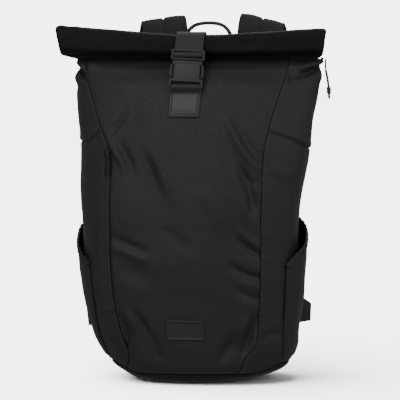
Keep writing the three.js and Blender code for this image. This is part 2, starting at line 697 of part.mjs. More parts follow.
// The closure strap: sewn to the back panel, over the roll, down its front and round the ladder
// lock's middle bar, with its tail behind the buckle.
function buildClosureStrap() {
  const half = WEBBING_THICKNESS / 2;
  const out = BACK_PAD + FACE_GAP + half;
  const places = [];
  const add = (point, across) => {
    places.push({ point, across, width: WEBBING, thickness: WEBBING_THICKNESS });
  };
  const line = [];
  const sewnSteps = 4;
  for (let i = 0; i <= sewnSteps; i++) {
    const row = rowAtHeight(SEAM_HEIGHT - STRAP_SEWN * (1 - i / sewnSteps));
    line.push(skinOffset(Math.PI / 2, row, out));
  }
  const anchor = line[sewnSteps];
  const radius = ROLL_RADIUS + LAYER / 2 + 2 * FACE_GAP + half;
  const centre = new THREE.Vector3(0, ROLL_Y, ROLL_HIGH);
  const start = Math.atan2(anchor.z - centre.z, anchor.y - centre.y);
  const reach = Math.hypot(anchor.z - centre.z, anchor.y - centre.y);
  const leave = start + Math.acos(radius / reach);
  const arcSteps = 9;
  for (let i = 0; i <= arcSteps; i++) {
    const angle = mix(leave, Math.PI, i / arcSteps);
    const y = centre.y + radius * Math.cos(angle);
    line.push(squeeze(new THREE.Vector3(0, y, centre.z + radius * Math.sin(angle))));
  }
  const last = line.length - 1;
  const sideways = [strapX(line[last].z)]; // from the buckle back over the roll
  for (let i = last; i > 0; i--) {
    const run = Math.hypot(line[i].y - line[i - 1].y, line[i].z - line[i - 1].z);
    sideways.unshift(sideways[0] + run * STRAP_LEAN);
  }
  line.forEach((point, i) => add(point.setX(sideways[i]), new THREE.Vector3(1, 0, 0)));
  threadLock(buckle.matrix, UPPER_BOTTOM, add);
  addPiece("closure_strap", band(places, 4, 0.8), WEB);
}

function buildPatch() {
  frontPlate("closure_patch", {
    centreX: strapX,
    bottom: PATCH_BOTTOM,
    height: PATCH_HEIGHT,
    halfWidth: () => PATCH_WIDTH / 2,
    thickness: PATCH_THICKNESS,
    finish: LEATHER,
    steps: 5,
    rows: 5,
  });
}

// A frame on the bag's front: x across, y up along the cloth and z straight out of it.
function frontFrame(x, z, out) {
  const row = rowAtHeight(z);
  const turn = turnAtX(x, row);
  const foot = skinOffset(turn, row, out);
  const away = skinOffset(turn, row, out + 1).sub(foot);
  const up = new THREE.Vector3(0, 0, 1).addScaledVector(away, -away.z).normalize();
  const frame = new THREE.Group();
  frame.matrixAutoUpdate = false;
  frame.matrix.makeBasis(up.clone().cross(away), up, away).setPosition(foot);
  return frame;
}

// The zip beside the left seam, closed, with its slider at the top and the pull hanging down.
function buildZip() {
  const seamX = (z) => {
    const row = rowAtHeight(z);
    return skin(seamLeft(row), row).x;
  };
  frontPlate("front_zip", {
    centreX: (z) => seamX(z) - ZIP_FROM_SEAM - ZIP_WIDTH / 2,
    bottom: ZIP_BOTTOM,
    height: ZIP_TOP - ZIP_BOTTOM,
    halfWidth: () => ZIP_WIDTH / 2,
    thickness: ZIP_THICKNESS,
    finish: WEB,
    steps: 3,
    rows: 20,
  });
  const onStrip = 2 * FACE_GAP + ZIP_THICKNESS;
  const sliderZ = ZIP_TOP - SLIDER_LENGTH;
  const slider = roundedOutline(SLIDER_WIDTH, -SLIDER_LENGTH / 2, SLIDER_LENGTH / 2, 2);
  const sliderFrame = frontFrame(seamX(sliderZ) - SLIDER_FROM_SEAM, sliderZ, onStrip + SLIDER_THICKNESS / 2);
  sliderFrame.add(addPiece("zip_slider", extrudeCentred(slider, SLIDER_THICKNESS, 0.5), METAL));
  pack.add(sliderFrame);
  const pullZ = sliderZ - SLIDER_LENGTH / 2 - FACE_GAP - PULL_LENGTH / 2;
  const pull = roundedOutline(PULL_WIDTH, -PULL_LENGTH / 2, PULL_LENGTH / 2, 2.5);
  const pullFrame = frontFrame(seamX(pullZ) - SLIDER_FROM_SEAM, pullZ, onStrip + PULL_STANDOFF + PULL_THICKNESS / 2);
  pullFrame.add(addPiece("zip_pull", extrudeCentred(pull, PULL_THICKNESS, 0.5), RUBBER));
  pack.add(pullFrame);
}

// A place behind the back panel's face, with the direction across the back. free goes from 0 for
// what lies on the panel to 1 for what hangs straight behind it.
function behindBack(x, z, clear, free = 0) {
  const row = rowAtHeight(Math.min(z, SEAM_HEIGHT));
  const s = section(row);
  const turn = turnAtShare(Math.abs(x) / (x < 0 ? s.left : s.right), row, x < 0, true);
  const point = skinOffset(turn, row, BACK_PAD);
  const away = skinOffset(turn, row, BACK_PAD + 1).sub(point);
  away.lerp(new THREE.Vector3(0, 1, 0), free).normalize();
  point.addScaledVector(away, clear);
  const step = 0.02;
  const across = skin(turn - step, row).sub(skin(turn + step, row)).normalize();
  if (z > SEAM_HEIGHT) point.z = z;
  return { point, across };
}

// The haul loop: both feet are sewn flat to the back panel, the left one over the closure strap,
// and the webbing turns a quarter on its way up to the arch.
function buildHaulLoop() {
  const archBase = HAUL_TOP - HAUL_RISE;
  const places = [];
  const add = (point, twist, side) => {
    const across = new THREE.Vector3(-side * Math.cos(twist), Math.sin(twist), 0);
    places.push({ point, across, width: HAUL_WIDTH, thickness: HAUL_THICKNESS });
  };
  const archY = behindBack(BACK_SHIFT, SEAM_HEIGHT, HAUL_STANDOFF, 1).point.y;
  const foot = (side) => {
    const under = side < 0 ? WEBBING_THICKNESS + FACE_GAP : 0;
    const clear = 2 * FACE_GAP + under + HAUL_THICKNESS / 2;
    const x = BACK_SHIFT + (side * HAUL_FEET) / 2;
    const low = behindBack(x, SEAM_HEIGHT - HAUL_SEWN, clear).point;
    const high = behindBack(x, SEAM_HEIGHT, clear).point;
    const archEnd = new THREE.Vector3(BACK_SHIFT + (side * HAUL_SPAN) / 2, archY, archBase);
    return [
      { point: low, twist: 0 },
      { point: high, twist: 0.1 },
      { point: high.clone().lerp(archEnd, 0.4).setZ(mix(high.z, archBase, 0.45)), twist: 0.7 },
      { point: high.clone().lerp(archEnd, 0.85).setZ(mix(high.z, archBase, 0.8)), twist: 1.35 },
    ];
  };
  for (const { point, twist } of foot(-1)) add(point, twist, -1);
  const archSteps = 8;
  for (let i = 0; i <= archSteps; i++) {
    const angle = Math.PI * (1 - i / archSteps);
    const x = BACK_SHIFT + (Math.cos(angle) * HAUL_SPAN) / 2;
    add(new THREE.Vector3(x, archY, archBase + Math.sin(angle) * HAUL_RISE), Math.PI / 2, 0);
  }
  for (const { point, twist } of foot(1).reverse()) add(point, twist, 1);
  addPiece("haul_loop", band(places, 2, 0.6), WEB);
}

// The middle line of a shoulder strap. side is -1 for the left one and 1 for the right one.
function strapPlaces(side) {
  const steps = 18;
  const places = [];
  const topX = BACK_SHIFT + (side * STRAP_SPACING) / 2;
  const wingX = wingPlace(side, 0.5, WING_BOTTOM + WING_HEIGHT / 2).x;
  for (let i = 0; i <= steps; i++) {
    const row = (i / steps) * (STRAP_ROUTE.length - 1);
    const stand = smoothColumn(STRAP_ROUTE, "stand", row);
    const thickness = smoothColumn(STRAP_ROUTE, "pad", row) * STRAP_THICKNESS;
    const x = mix(topX, wingX, smoothColumn(STRAP_ROUTE, "out", row));
    const z = smoothColumn(STRAP_ROUTE, "height", row) * SEAM_HEIGHT;
    const clear = FACE_GAP + stand * STRAP_THICKNESS + thickness / 2;
    const { point, across } = behindBack(topX, z, clear, Math.min(stand, 1));
    point.x += x - topX;
    const tilt = THREE.MathUtils.degToRad(smoothColumn(STRAP_ROUTE, "tilt", row));
    const free = new THREE.Vector3(Math.cos(tilt), 0, -side * Math.sin(tilt));
    across.lerp(free, Math.min(stand, 1)).normalize();
    places.push({ point, across, width: smoothColumn(STRAP_ROUTE, "width", row) * STRAP_WIDTH, thickness });
  }
  return places;
}

// A wing is a doubled cloth tab that stands out between the side and the back panel and narrows
// to the webbing. share goes from 0 at the panel to 1 at its tip.
function wingPlace(side, share, z) {
  const row = rowAtHeight(z);
  return skinOffset(turnAtShare(WING_SEAM, row, side < 0, true), row, FACE_GAP + share * WING_REACH);
}

function buildWing(name, side) {
  const middle = WING_BOTTOM + WING_TIP / 2;
  const out = wingPlace(side, 1, middle).sub(wingPlace(side, 0, middle)).setZ(0).normalize();
  const face = out.clone().cross(new THREE.Vector3(0, 0, 1));
  const place = (u, v, away) => {
    const z = WING_BOTTOM + v * mix(WING_HEIGHT, WING_TIP, u);
    return wingPlace(side, u, z).addScaledVector(face, (away * WING_THICKNESS) / 2);
  };
  const geometry = solidBetween(
    (u, v) => place(u, v, 1),
    (u, v) => place(u, v, -1),
    3,
    3,
  );
  addPiece(name, geometry, FABRIC);
  return { out, back: face.multiplyScalar(-side) };
}

// A shoulder strap with its ladder lock and the webbing that ties it to its wing.
function buildShoulderStrap(label, side) {
  const pad = strapPlaces(side);
  addPiece(`shoulder_strap_${label}`, band(pad, 4, 0.45), MESH_PAD);
  const wing = buildWing(`strap_wing_${label}`, side);
  const off = WING_THICKNESS / 2 + 2 * FACE_GAP + WEBBING_THICKNESS / 2;
  const end = pad[pad.length - 1];
  const padRun = end.point.clone().sub(pad[pad.length - 2].point).normalize();
  const foot = end.point.clone().addScaledVector(padRun, FACE_GAP);
  const acrossLock = new THREE.Vector3(1, 0, 0).addScaledVector(padRun, -padRun.x).normalize();
  const lockFrame = new THREE.Group();
  lockFrame.matrixAutoUpdate = false;
  lockFrame.matrix.makeBasis(acrossLock, padRun, acrossLock.clone().cross(padRun)).setPosition(foot);
  lockFrame.add(addPiece(`strap_adjuster_${label}`, lockGeometry(ADJUSTER_WIDTH, LOWER_WEBBING, 0), PLASTIC));
  pack.add(lockFrame);
  const places = [];
  const add = (point, across) => {
    places.push({ point, across, width: LOWER_WEBBING, thickness: WEBBING_THICKNESS });
  };
  const sewn = 0.64; // share of the wing's reach where the webbing is sewn on
  const acrossWing = wing.out.clone().multiplyScalar(side);
  for (const up of [0.1, 0.5, 0.9]) {
    const place = wingPlace(side, sewn, WING_BOTTOM + up * WING_TIP);
    add(place.addScaledVector(wing.back, off), acrossWing);
  }
  threadLock(lockFrame.matrix, 0, add);
  addPiece(`strap_webbing_${label}`, band(places, 3, 0.8), WEB);
}

// The cord pull: a cloth tab on the collar's right edge, the cord that hangs from it and a bead.
function buildCordPull() {
  const [x, y, z] = CORD_ROUTE[0];
  const tab = addPiece("cord_tab", new THREE.BoxGeometry(TAB_THICKNESS, TAB_WIDTH, TAB_HEIGHT), FABRIC);
  tab.position.set(x, y, z + FACE_GAP + TAB_HEIGHT / 2);
  const curve = new THREE.CatmullRomCurve3(CORD_ROUTE.map((p) => new THREE.Vector3(...p)));
  const sides = 8;
  const round = [];
  for (let i = 0; i < sides; i++) {
    const angle = (2 * Math.PI * i) / sides;
    round.push(new THREE.Vector2(Math.cos(angle), Math.sin(angle)).multiplyScalar(CORD / 2));
  }
  const steps = Math.ceil(curve.getLength() / (1.5 * CORD));
  const tube = new THREE.ExtrudeGeometry(new THREE.Shape(round), { steps, extrudePath: curve });
  addPiece("puller_cord", tube, WEB);
  const bore = CORD / 2 + BEAD_CLEARANCE;
  const half = BEAD_LENGTH / 2;
  const profile = [
    new THREE.Vector2(bore, -half),
    new THREE.Vector2((bore + BEAD_WIDTH / 2) / 2, -half),
    new THREE.Vector2(BEAD_WIDTH / 2, -half / 3),
    new THREE.Vector2(BEAD_WIDTH / 2, half / 3),
    new THREE.Vector2((bore + BEAD_WIDTH / 2) / 2, half),
    new THREE.Vector2(bore, half),
    new THREE.Vector2(bore, -half),
  ];
  const bead = addPiece("puller_bead", new THREE.LatheGeometry(profile, 10), RUBBER);
  bead.position.copy(curve.getPointAt(BEAD_AT));
  bead.quaternion.setFromUnitVectors(new THREE.Vector3(0, -1, 0), curve.getTangentAt(BEAD_AT));
}

// The origin is under the middle of the bag with its straps, without the hanging cord.
function centreOnOrigin() {
  const box = new THREE.Box3();
  pack.updateMatrixWorld(true);
  pack.traverse((piece) => {
    if (piece.isMesh && !piece.name.startsWith("puller_")) box.expandByObject(piece, true);
  });
  const middle = box.getCenter(new THREE.Vector3());
  pack.position.set(-middle.x, -middle.y, -box.min.z);
}

buildPanels();
buildBase();
buildCollar();
buildPocket("side_pocket_left", true);
buildPocket("side_pocket_right", false);
buildLabel();
buildBuckle();
buildClosureStrap();
buildPatch();
buildZip();
buildHaulLoop();
buildShoulderStrap("left", -1);
buildShoulderStrap("right", 1);
buildCordPull();
centreOnOrigin();

export default pack;
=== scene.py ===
# %% [markdown]
# # A rolltop backpack in dark coated nylon
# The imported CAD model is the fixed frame. Each cloth panel, strap, buckle and seam is built here
# as its own mesh in the place of the CAD node that it stands for, and gets a finish of its own.
# The bag is measured in millimetres, and one function turns those into the frame's metres.

# %% Load the frame and measure it
import math

import bmesh
import bpy
import numpy as np
from mathutils import Matrix, Vector


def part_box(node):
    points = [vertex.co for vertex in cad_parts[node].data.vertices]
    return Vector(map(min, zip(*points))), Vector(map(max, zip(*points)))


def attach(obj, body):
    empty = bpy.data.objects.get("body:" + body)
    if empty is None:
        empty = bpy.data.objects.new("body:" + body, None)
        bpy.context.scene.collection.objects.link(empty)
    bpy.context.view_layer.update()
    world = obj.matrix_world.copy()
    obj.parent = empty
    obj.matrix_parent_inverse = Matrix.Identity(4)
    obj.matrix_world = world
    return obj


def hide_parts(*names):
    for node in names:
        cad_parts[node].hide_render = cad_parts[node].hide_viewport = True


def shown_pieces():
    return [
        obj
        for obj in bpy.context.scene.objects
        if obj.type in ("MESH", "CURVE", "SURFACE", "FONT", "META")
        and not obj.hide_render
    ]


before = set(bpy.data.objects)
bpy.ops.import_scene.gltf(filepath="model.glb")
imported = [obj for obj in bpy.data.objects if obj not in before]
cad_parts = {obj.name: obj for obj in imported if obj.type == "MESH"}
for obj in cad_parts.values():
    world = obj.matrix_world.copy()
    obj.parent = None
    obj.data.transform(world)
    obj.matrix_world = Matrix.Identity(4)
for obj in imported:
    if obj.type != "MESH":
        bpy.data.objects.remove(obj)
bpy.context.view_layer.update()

# %% [markdown]
# ## Millimetres to metres
# The frame is centred on its own box, while the bag is drawn from the middle of its base. The
# cloth tab on the collar is a plain block centred on the cord's first point, so its box gives the
# offset between the two.

# %% From the bag's millimetres to the frame's metres
ROLL_REACH = 184.0  # half the roll's length
CORD_TOP = (ROLL_REACH - 1.3, 6.5, 420.4)  # where the cord leaves its tab
tab_low, tab_high = (np.array(corner) * 1000 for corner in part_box("cord_tab"))
tab_middle = (tab_low + tab_high) / 2
OFFSET = np.array([tab_middle[0] - CORD_TOP[0], tab_middle[1] - CORD_TOP[1], 0.0])


def metres(points):
    """Points in the bag's millimetres, as places in the frame."""
    return (np.asarray(points, float) + OFFSET) / 1000


print("offset of the frame, mm:", OFFSET.round(3))

# %% [markdown]
# ## Camera
# The photograph looks at the front from slightly right of it and slightly above, through a long
# lens. One pixel of it is 1.36 mm at the bag, so the camera stands where 400 pixels take in
# 544 mm, and aims at the point that falls on the middle of the picture.

# %% Camera
AZIMUTH, ELEVATION = math.radians(4.5), math.radians(5.0)
forward = np.array([
    -math.sin(AZIMUTH) * math.cos(ELEVATION),
    math.cos(AZIMUTH) * math.cos(ELEVATION),
    -math.sin(ELEVATION),
])
sideways = np.array([math.cos(AZIMUTH), math.sin(AZIMUTH), 0.0])
upwards = np.cross(sideways, forward)
PIXEL = 1.36  # mm of the bag
LENS, SENSOR = 150.0, 36.0
distance = 400 * PIXEL * LENS / SENSOR
aim = 13.6 * sideways + 242.3 * upwards - 21.0 * forward
eye = metres(aim - distance * forward)
camera_data = bpy.data.cameras.new("camera")
camera_data.lens, camera_data.sensor_width = LENS, SENSOR
camera_data.clip_end = 50
camera = bpy.data.objects.new("camera", camera_data)
axes = Matrix((sideways, upwards, -forward)).transposed().to_4x4()
camera.matrix_world = Matrix.Translation(eye) @ axes
bpy.context.scene.collection.objects.link(camera)
bpy.context.scene.camera = camera
print("camera at", eye.round(3), "distance", round(distance / 1000, 3))

# %% [markdown]
# ## Smooth tables and the bag's skin
# A sewn bag has no straight walls: the filled cloth bulges at the belly and draws in to the roll.
# Its outside is one smooth skin round a table of sections, a superellipse at each height. Every
# panel is a patch of that skin, so neighbouring panels meet along their seams.

# %% Tables of the bag's shape
BAG_HALF, BAG_DEPTH, SEAM_HEIGHT = 150.0, 140.0, 418.0
NECK_HEIGHT, NECK_Y = 436.0, 8.0
# height, left, right, front, back, squareness, left seam, right seam; lengths as shares
SECTIONS = np.array([
    (0.000, 0.400, 0.480, 0.270, 0.400, 2.3, 0.800, 0.600),
    (0.009, 0.520, 0.620, 0.380, 0.430, 2.4, 0.800, 0.600),
    (0.034, 0.630, 0.820, 0.455, 0.445, 2.5, 0.800, 0.580),
    (0.062, 0.715, 0.912, 0.490, 0.450, 2.6, 0.800, 0.550),
    (0.115, 0.800, 0.958, 0.510, 0.455, 2.7, 0.684, 0.566),
    (0.165, 0.855, 0.950, 0.520, 0.457, 2.8, 0.679, 0.664),
    (0.270, 0.900, 0.965, 0.535, 0.457, 2.9, 0.714, 0.677),
    (0.400, 0.940, 0.975, 0.543, 0.457, 3.0, 0.720, 0.680),
    (0.580, 0.980, 1.000, 0.530, 0.457, 3.0, 0.697, 0.666),
    (0.740, 0.985, 1.085, 0.475, 0.450, 2.8, 0.690, 0.628),
    (0.842, 1.010, 1.120, 0.405, 0.420, 2.5, 0.785, 0.656),
    (0.947, 1.035, 1.165, 0.285, 0.330, 2.2, 0.868, 0.712),
    (1.000, 1.035, 1.185, 0.165, 0.235, 2.1, 0.900, 0.740),
])
sizes = np.array([SEAM_HEIGHT, BAG_HALF, BAG_HALF, -BAG_DEPTH, BAG_DEPTH, 1, 1, 1])
top = SECTIONS[-1] * sizes
half_top, middle_top = (top[4] - top[3]) / 2, (top[4] + top[3]) / 2
# share of the way from the seam up to the roll, and the half widths there
COLLAR = [(0.3, 154.9, 179.2), (0.6, 154.9, 180.3), (0.85, 156.0, 181.1), (1.0, 158.2, 181.1)]
rows = list(SECTIONS * sizes)
for rise, left, right in COLLAR:
    middle = middle_top + (NECK_Y - middle_top) * rise
    half = half_top + (2.6 - half_top) * rise
    height = SEAM_HEIGHT + (NECK_HEIGHT + 1.5 - SEAM_HEIGHT) * rise
    square = top[5] + 2.5 * rise
    rows.append((height, left, right, middle - half, middle + half, square, 0.905, 0.74))
SKIN = np.array(rows)
TOP_ROW = len(SKIN) - 1


def smooth(table, row):
    """All columns of a table at fractional rows, on a smooth curve through its rows."""
    table, row = np.asarray(table, float), np.asarray(row, float)
    last = len(table) - 1
    i = np.clip(np.floor(row).astype(int), 0, last - 1)
    t = (row - i)[..., None]
    before, a, b, after = (table[np.clip(i + k, 0, last)] for k in (-1, 0, 1, 2))
    leave, arrive = (b - before) / 2, (after - a) / 2
    bend = t * t * (3 * (b - a) - 2 * leave - arrive) + t**3 * (2 * (a - b) + leave + arrive)
    return a + t * leave + bend


FINE_ROWS = np.linspace(0, TOP_ROW, 4000)
FINE_HEIGHTS = smooth(SKIN, FINE_ROWS)[:, 0]


def row_at(height):
    """Fractional row of the skin at a height in millimetres."""
    return np.interp(height, FINE_HEIGHTS, FINE_ROWS)


print("skin rows:", len(SKIN), "from", SKIN[0, 0], "to", SKIN[-1, 0], "mm")

# %% [markdown]
# ## Folds and the skin itself
# Loaded cloth hangs in long soft folds that run down from the corners of the roll, with a ridge
# and a hollow side by side. Each is a bell-shaped dent laid across the front at an angle.

# %% Folds, and a point of the skin
# place across and up, angle from upright, length, width, depth (+ stands out)
FOLDS = [
    (0.52, 0.62, 33, 0.24, 0.045, -0.030), (0.36, 0.66, 31, 0.28, 0.060, 0.022),
    (0.56, 0.47, 52, 0.16, 0.045, -0.022), (0.52, 0.33, 58, 0.18, 0.050, -0.024),
    (-0.30, 0.62, 35, 0.34, 0.060, -0.024), (-0.42, 0.36, 62, 0.18, 0.045, -0.020),
    (-0.42, 0.16, 38, 0.15, 0.040, -0.030), (0.44, 0.14, -32, 0.13, 0.035, -0.034),
    (-0.50, 0.84, -30, 0.20, 0.050, -0.022),
]


def dents(x, z, table):
    """How far a table of folds moves the cloth in or out at places of the front, in mm."""
    total = np.zeros(np.broadcast(x, z).shape)
    for across_at, up_at, angle, length, width, depth in table:
        c, s = math.cos(math.radians(angle)), math.sin(math.radians(angle))
        dx, dz = x - across_at * BAG_HALF, z - up_at * SEAM_HEIGHT
        along = (dz * c - dx * s) / (length * 2 * BAG_HALF)
        across = (dx * c + dz * s) / (width * 2 * BAG_HALF)
        total += depth * BAG_DEPTH * np.exp(-across**2 - 4 * along**2)
    return total


def skin(turn, row):
    """Points of the outside. turn 0 is the right side, a quarter the back, a half the left."""
    height, left, right, front, back, square = np.moveaxis(smooth(SKIN, row), -1, 0)[:6]
    c, s = np.cos(turn), np.sin(turn)
    x = np.sign(c) * np.abs(c) ** (2 / square) * np.where(c < 0, left, right)
    y = (front + back) / 2 + np.sign(s) * np.abs(s) ** (2 / square) * (back - front) / 2
    y = y - np.where(s < 0, dents(x, height, FOLDS) * np.abs(s), 0)
    return np.stack(np.broadcast_arrays(x, y, height), -1)


def outwards(turn, row):
    """Unit normals of the skin."""
    step = 0.012
    across = skin(turn + step, row) - skin(turn - step, row)
    up = skin(turn, np.minimum(row + step, TOP_ROW)) - skin(turn, np.maximum(row - step, 0))
    normal = np.cross(across, up)
    return normal / np.linalg.norm(normal, axis=-1, keepdims=True)


def off_skin(turn, row, distance):
    """Points of the skin, moved out by a distance in millimetres."""
    return skin(turn, row) + outwards(turn, row) * np.asarray(distance)[..., None]


def turn_at(share, row, left, back):
    """Angle at which a side reaches a share of its half width."""
    square = smooth(SKIN, row)[..., 5]
    angle = np.arccos(np.clip(share, 0, 1) ** (square / 2))
    if back:
        return np.pi - angle if left else angle
    return np.pi + angle if left else 2 * np.pi - angle


def front_turn(x, row):
    """Angle of the front at a place measured sideways from the middle."""
    table = smooth(SKIN, row)
    reach = np.where(np.asarray(x) < 0, table[..., 1], table[..., 2])
    angle = np.arccos(np.clip(np.abs(x) / reach, 0, 1) ** (table[..., 5] / 2))
    return np.where(np.asarray(x) < 0, np.pi + angle, 2 * np.pi - angle)


print("waist, mm:", skin(np.array([0.0, np.pi]), row_at(np.array([240.0, 240.0])))[:, 0].round(1))

# %% [markdown]
# ## From places to meshes
# A sewing pattern is a flat piece of cloth, so each piece starts as an even grid whose points are
# then moved to their places on the bag. Its UV map is in millimetres of cloth, which keeps the
# weave at its real size. Hems and webbing are closed tubes with a flattened section.

# %% Building functions
def piece(name, bm, node=(), closed=False):
    """Makes a finished object of a mesh, rides it on the bag and hides the CAD parts it stands for."""
    if closed:
        bmesh.ops.recalc_face_normals(bm, faces=bm.faces)
    for face in bm.faces:
        face.smooth = True
    mesh = bpy.data.meshes.new(name)
    bm.to_mesh(mesh)
    bm.free()
    made = bpy.data.objects.new(name, mesh)
    bpy.context.scene.collection.objects.link(made)
    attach(made, "root")
    if node:
        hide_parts(*([node] if isinstance(node, str) else node))
    return made


def grid(points, wear_and_shade=None):
    """A grid of quads moved to points[row][column], in the bag's millimetres."""
    rows, columns = points.shape[0] - 1, points.shape[1] - 1
    bm = bmesh.new()
    cloth_map = bm.loops.layers.uv.new("cloth")
    # the seam mask is real wear where the woven finish pales the cloth, and painted shade where it
    # darkens the groove
    wear_and_shade_mask = bm.verts.layers.float.new("wear_and_shade")
    bmesh.ops.create_grid(bm, x_segments=columns, y_segments=rows, size=1)
    width = np.linalg.norm(np.diff(points, axis=1), axis=-1).sum(1).mean()
    height = np.linalg.norm(np.diff(points, axis=0), axis=-1).sum(0).mean()
    places = metres(points)
    for vert in bm.verts:
        i = round((vert.co.x + 1) / 2 * columns)
        j = round((vert.co.y + 1) / 2 * rows)
        for loop in vert.link_loops:
            loop[cloth_map].uv = (i / columns * width, j / rows * height)
        vert.co = places[j, i]
        vert[wear_and_shade_mask] = 0.0 if wear_and_shade is None else float(wear_and_shade[j, i])
    return bm


def thicken(made, thickness):
    """Gives a cloth its thickness, inwards, in millimetres."""
    shell = made.modifiers.new("thickness", "SOLIDIFY")
    shell.thickness, shell.offset = thickness / 1000, -1
    return made


def unit(vectors):
    """Vectors made one long."""
    return vectors / np.maximum(np.linalg.norm(vectors, axis=-1, keepdims=True), 1e-9)


def flat_tube(path, across, width, thickness, power=6.0, around=24, relief=None):
    """A closed tube with a flattened section along a path, such as webbing or a padded strap."""
    path, count = np.asarray(path, float), len(path)
    along = unit(np.gradient(path, axis=0))
    across = np.broadcast_to(np.asarray(across, float), path.shape)
    across = unit(across - along * (across * along).sum(-1, keepdims=True))
    away = np.cross(across, along)
    half = around // 2
    bow = np.pi * np.arange(half) / half
    side = np.concatenate([-np.cos(bow), np.cos(bow), [-1.0]])
    tall = (1 - np.abs(side) ** power) ** (1 / power)
    tall = tall * np.concatenate([np.ones(half), -np.ones(half), [0.0]])
    width = np.broadcast_to(np.asarray(width, float), (count,))[:, None, None]
    thickness = np.broadcast_to(np.asarray(thickness, float), (count,))[:, None, None]
    lift = np.zeros((count, len(side))) if relief is None else relief(count, side, tall)
    points = (
        path[:, None]
        + across[:, None] * side[None, :, None] * width / 2
        + away[:, None] * (tall[None, :, None] * thickness / 2 + lift[..., None])
    )
    bm = grid(points)
    bmesh.ops.remove_doubles(bm, verts=bm.verts, dist=1e-6)
    bmesh.ops.holes_fill(bm, edges=[edge for edge in bm.edges if edge.is_boundary])
    return bm


def even(path, spacing):
    """A smooth path through the given places, with its points a spacing apart."""
    path = np.asarray(path, float)
    fine = smooth(path, np.linspace(0, len(path) - 1, 24 * len(path)))
    run = np.concatenate([[0], np.cumsum(np.linalg.norm(np.diff(fine[:, :3], axis=0), axis=1))])
    count = max(int(round(run[-1] / spacing)), 2)
    stops = np.linspace(0, run[-1], count + 1)
    return np.stack([np.interp(stops, run, column) for column in fine.T], -1)


def bell(distance, width):
    """A smooth bump, 1 in its middle, that has mostly gone at a width from there."""
    return np.exp(-((distance / width) ** 2))


def wander(a, b, size, seed):
    """Soft random unevenness between -1 and 1, with bumps of a size in millimetres."""
    rng = np.random.default_rng(seed)
    total = np.zeros(np.broadcast(a, b).shape)
    for _ in range(14):
        angle, phase = rng.uniform(0, 2 * np.pi, 2)
        pace = 2 * np.pi / (size * rng.uniform(0.7, 1.6))
        total += np.sin(pace * (a * math.cos(angle) + b * math.sin(angle)) + phase)
    return total / 5.3


test_grid = grid(np.zeros((4, 5, 3)))
print("a grid of 3 rows and 4 columns has", len(test_grid.faces), "faces")
test_grid.free()

# %% [markdown]
# ## Cord pull
# A thin cord hangs from a cloth tab at the collar's right edge, with a ribbed bead on it for the
# fingers. On the real bag it is a knotted shock cord; it hangs freely under its own weight, and
# all of it shows in the photograph.

# %% Cord, bead and tab
CORD = 3.2  # mm thick; a real one is nearer 2.2, which is lost against the white
cord_route = np.array([
    CORD_TOP,
    (ROLL_REACH + 0.6, 6.3, 411.5),
    (ROLL_REACH + 2.3, 6.1, 401.5),
    (ROLL_REACH + 3.3, 6.0, 391.5),
    (ROLL_REACH + 3.7, 6.0, 381.0),
])
cord_line = even(cord_route, 0.8)
round_cord = flat_tube(cord_line, (1, 0, 0), CORD, CORD, power=2.0, around=16)
cord_piece = piece("pull_cord", round_cord, "puller_cord", closed=True)

bead_place = cord_route[0] + (cord_route[-1] - cord_route[0]) * 0.72
bead_centre = cord_line[np.argmin(np.abs(cord_line[:, 2] - bead_place[2]))]
bead_run = unit(cord_line[-8] - cord_line[-16])
beads = bmesh.new()
profile = [
    (1.5, -4.5), (2.5, -4.5), (2.95, -4.0), (3.0, -2.2), (2.6, -1.8), (2.6, -1.2), (3.0, -0.8),
    (3.0, 0.8), (2.6, 1.2), (2.6, 1.8), (3.0, 2.2), (2.95, 4.0), (2.5, 4.5), (1.5, 4.5),
]
ring = [beads.verts.new((radius, 0, height)) for radius, height in profile]
edges = [beads.edges.new(pair) for pair in zip(ring, ring[1:] + ring[:1])]
bmesh.ops.spin(
    beads, geom=ring + edges, cent=(0, 0, 0), axis=(0, 0, 1), angle=2 * math.pi, steps=24,
    use_merge=True, use_duplicate=False,
)
turned = Vector((0, 0, 1)).rotation_difference(Vector(bead_run)).to_matrix().to_4x4()
in_place = Matrix.Translation(metres(bead_centre)) @ turned @ Matrix.Scale(0.001, 4)
bmesh.ops.transform(beads, matrix=in_place, verts=beads.verts)
bead = piece("pull_bead", beads, "puller_bead", closed=True)

tab_line = even([(CORD_TOP[0], CORD_TOP[1], CORD_TOP[2] + h) for h in (0.4, 4, 8, 12, 13.4)], 1)
piece("pull_tab", flat_tube(tab_line, (0, 1, 0), 8, 2.4), "cord_tab", closed=True)

# %% [markdown]
# ## How sewn cloth moves near its edges
# Two panels are sewn with their raw edges turned inwards, so each one rolls in to the seam and
# leaves a dark groove between them. The thread draws the cloth together, and it puckers beside
# the seam. Away from it the coated cloth bulges in slow, shallow waves.

# %% Panel layout and relief
def base_seam(turn):
    """Height of the seam round the base: low across the front, higher round the corners."""
    off = np.abs((turn - 1.5 * np.pi + np.pi) % (2 * np.pi) - np.pi)
    rise = np.clip((off - 0.65) / 0.45, 0, 1)
    return 13.8 + 13.4 * rise * rise * (3 - 2 * rise)


def laid_out(from_turn, to_turn, high, spacing):
    """Turns and rows of a panel's points between two seams, evenly spaced, from the base seam up."""
    row_count = int((high - 14) / spacing)
    v = np.linspace(0, 1, row_count + 1)[:, None]
    heights = 26 + (high - 26) * v
    middle = row_at(np.array([[200.0]]))
    span = np.linspace(from_turn(middle), to_turn(middle), 40)[..., 0, 0]
    length = np.linalg.norm(np.diff(skin(span, middle[0] + 0 * span), axis=0), axis=-1).sum()
    column_count = int(length / spacing)
    turn = np.zeros((row_count + 1, column_count + 1))
    for j, row in enumerate(row_at(heights)):
        first, last = from_turn(row), to_turn(row)
        span = np.linspace(float(first[0]), float(last[0]), 60)
        run = skin(span, np.full(60, row[0]))
        run = np.concatenate([[0], np.cumsum(np.linalg.norm(np.diff(run, axis=0), axis=1))])
        turn[j] = np.interp(np.linspace(0, run[-1], column_count + 1), run, span)
    bottom = base_seam(turn)
    return turn, row_at(bottom + (high - bottom) * v)


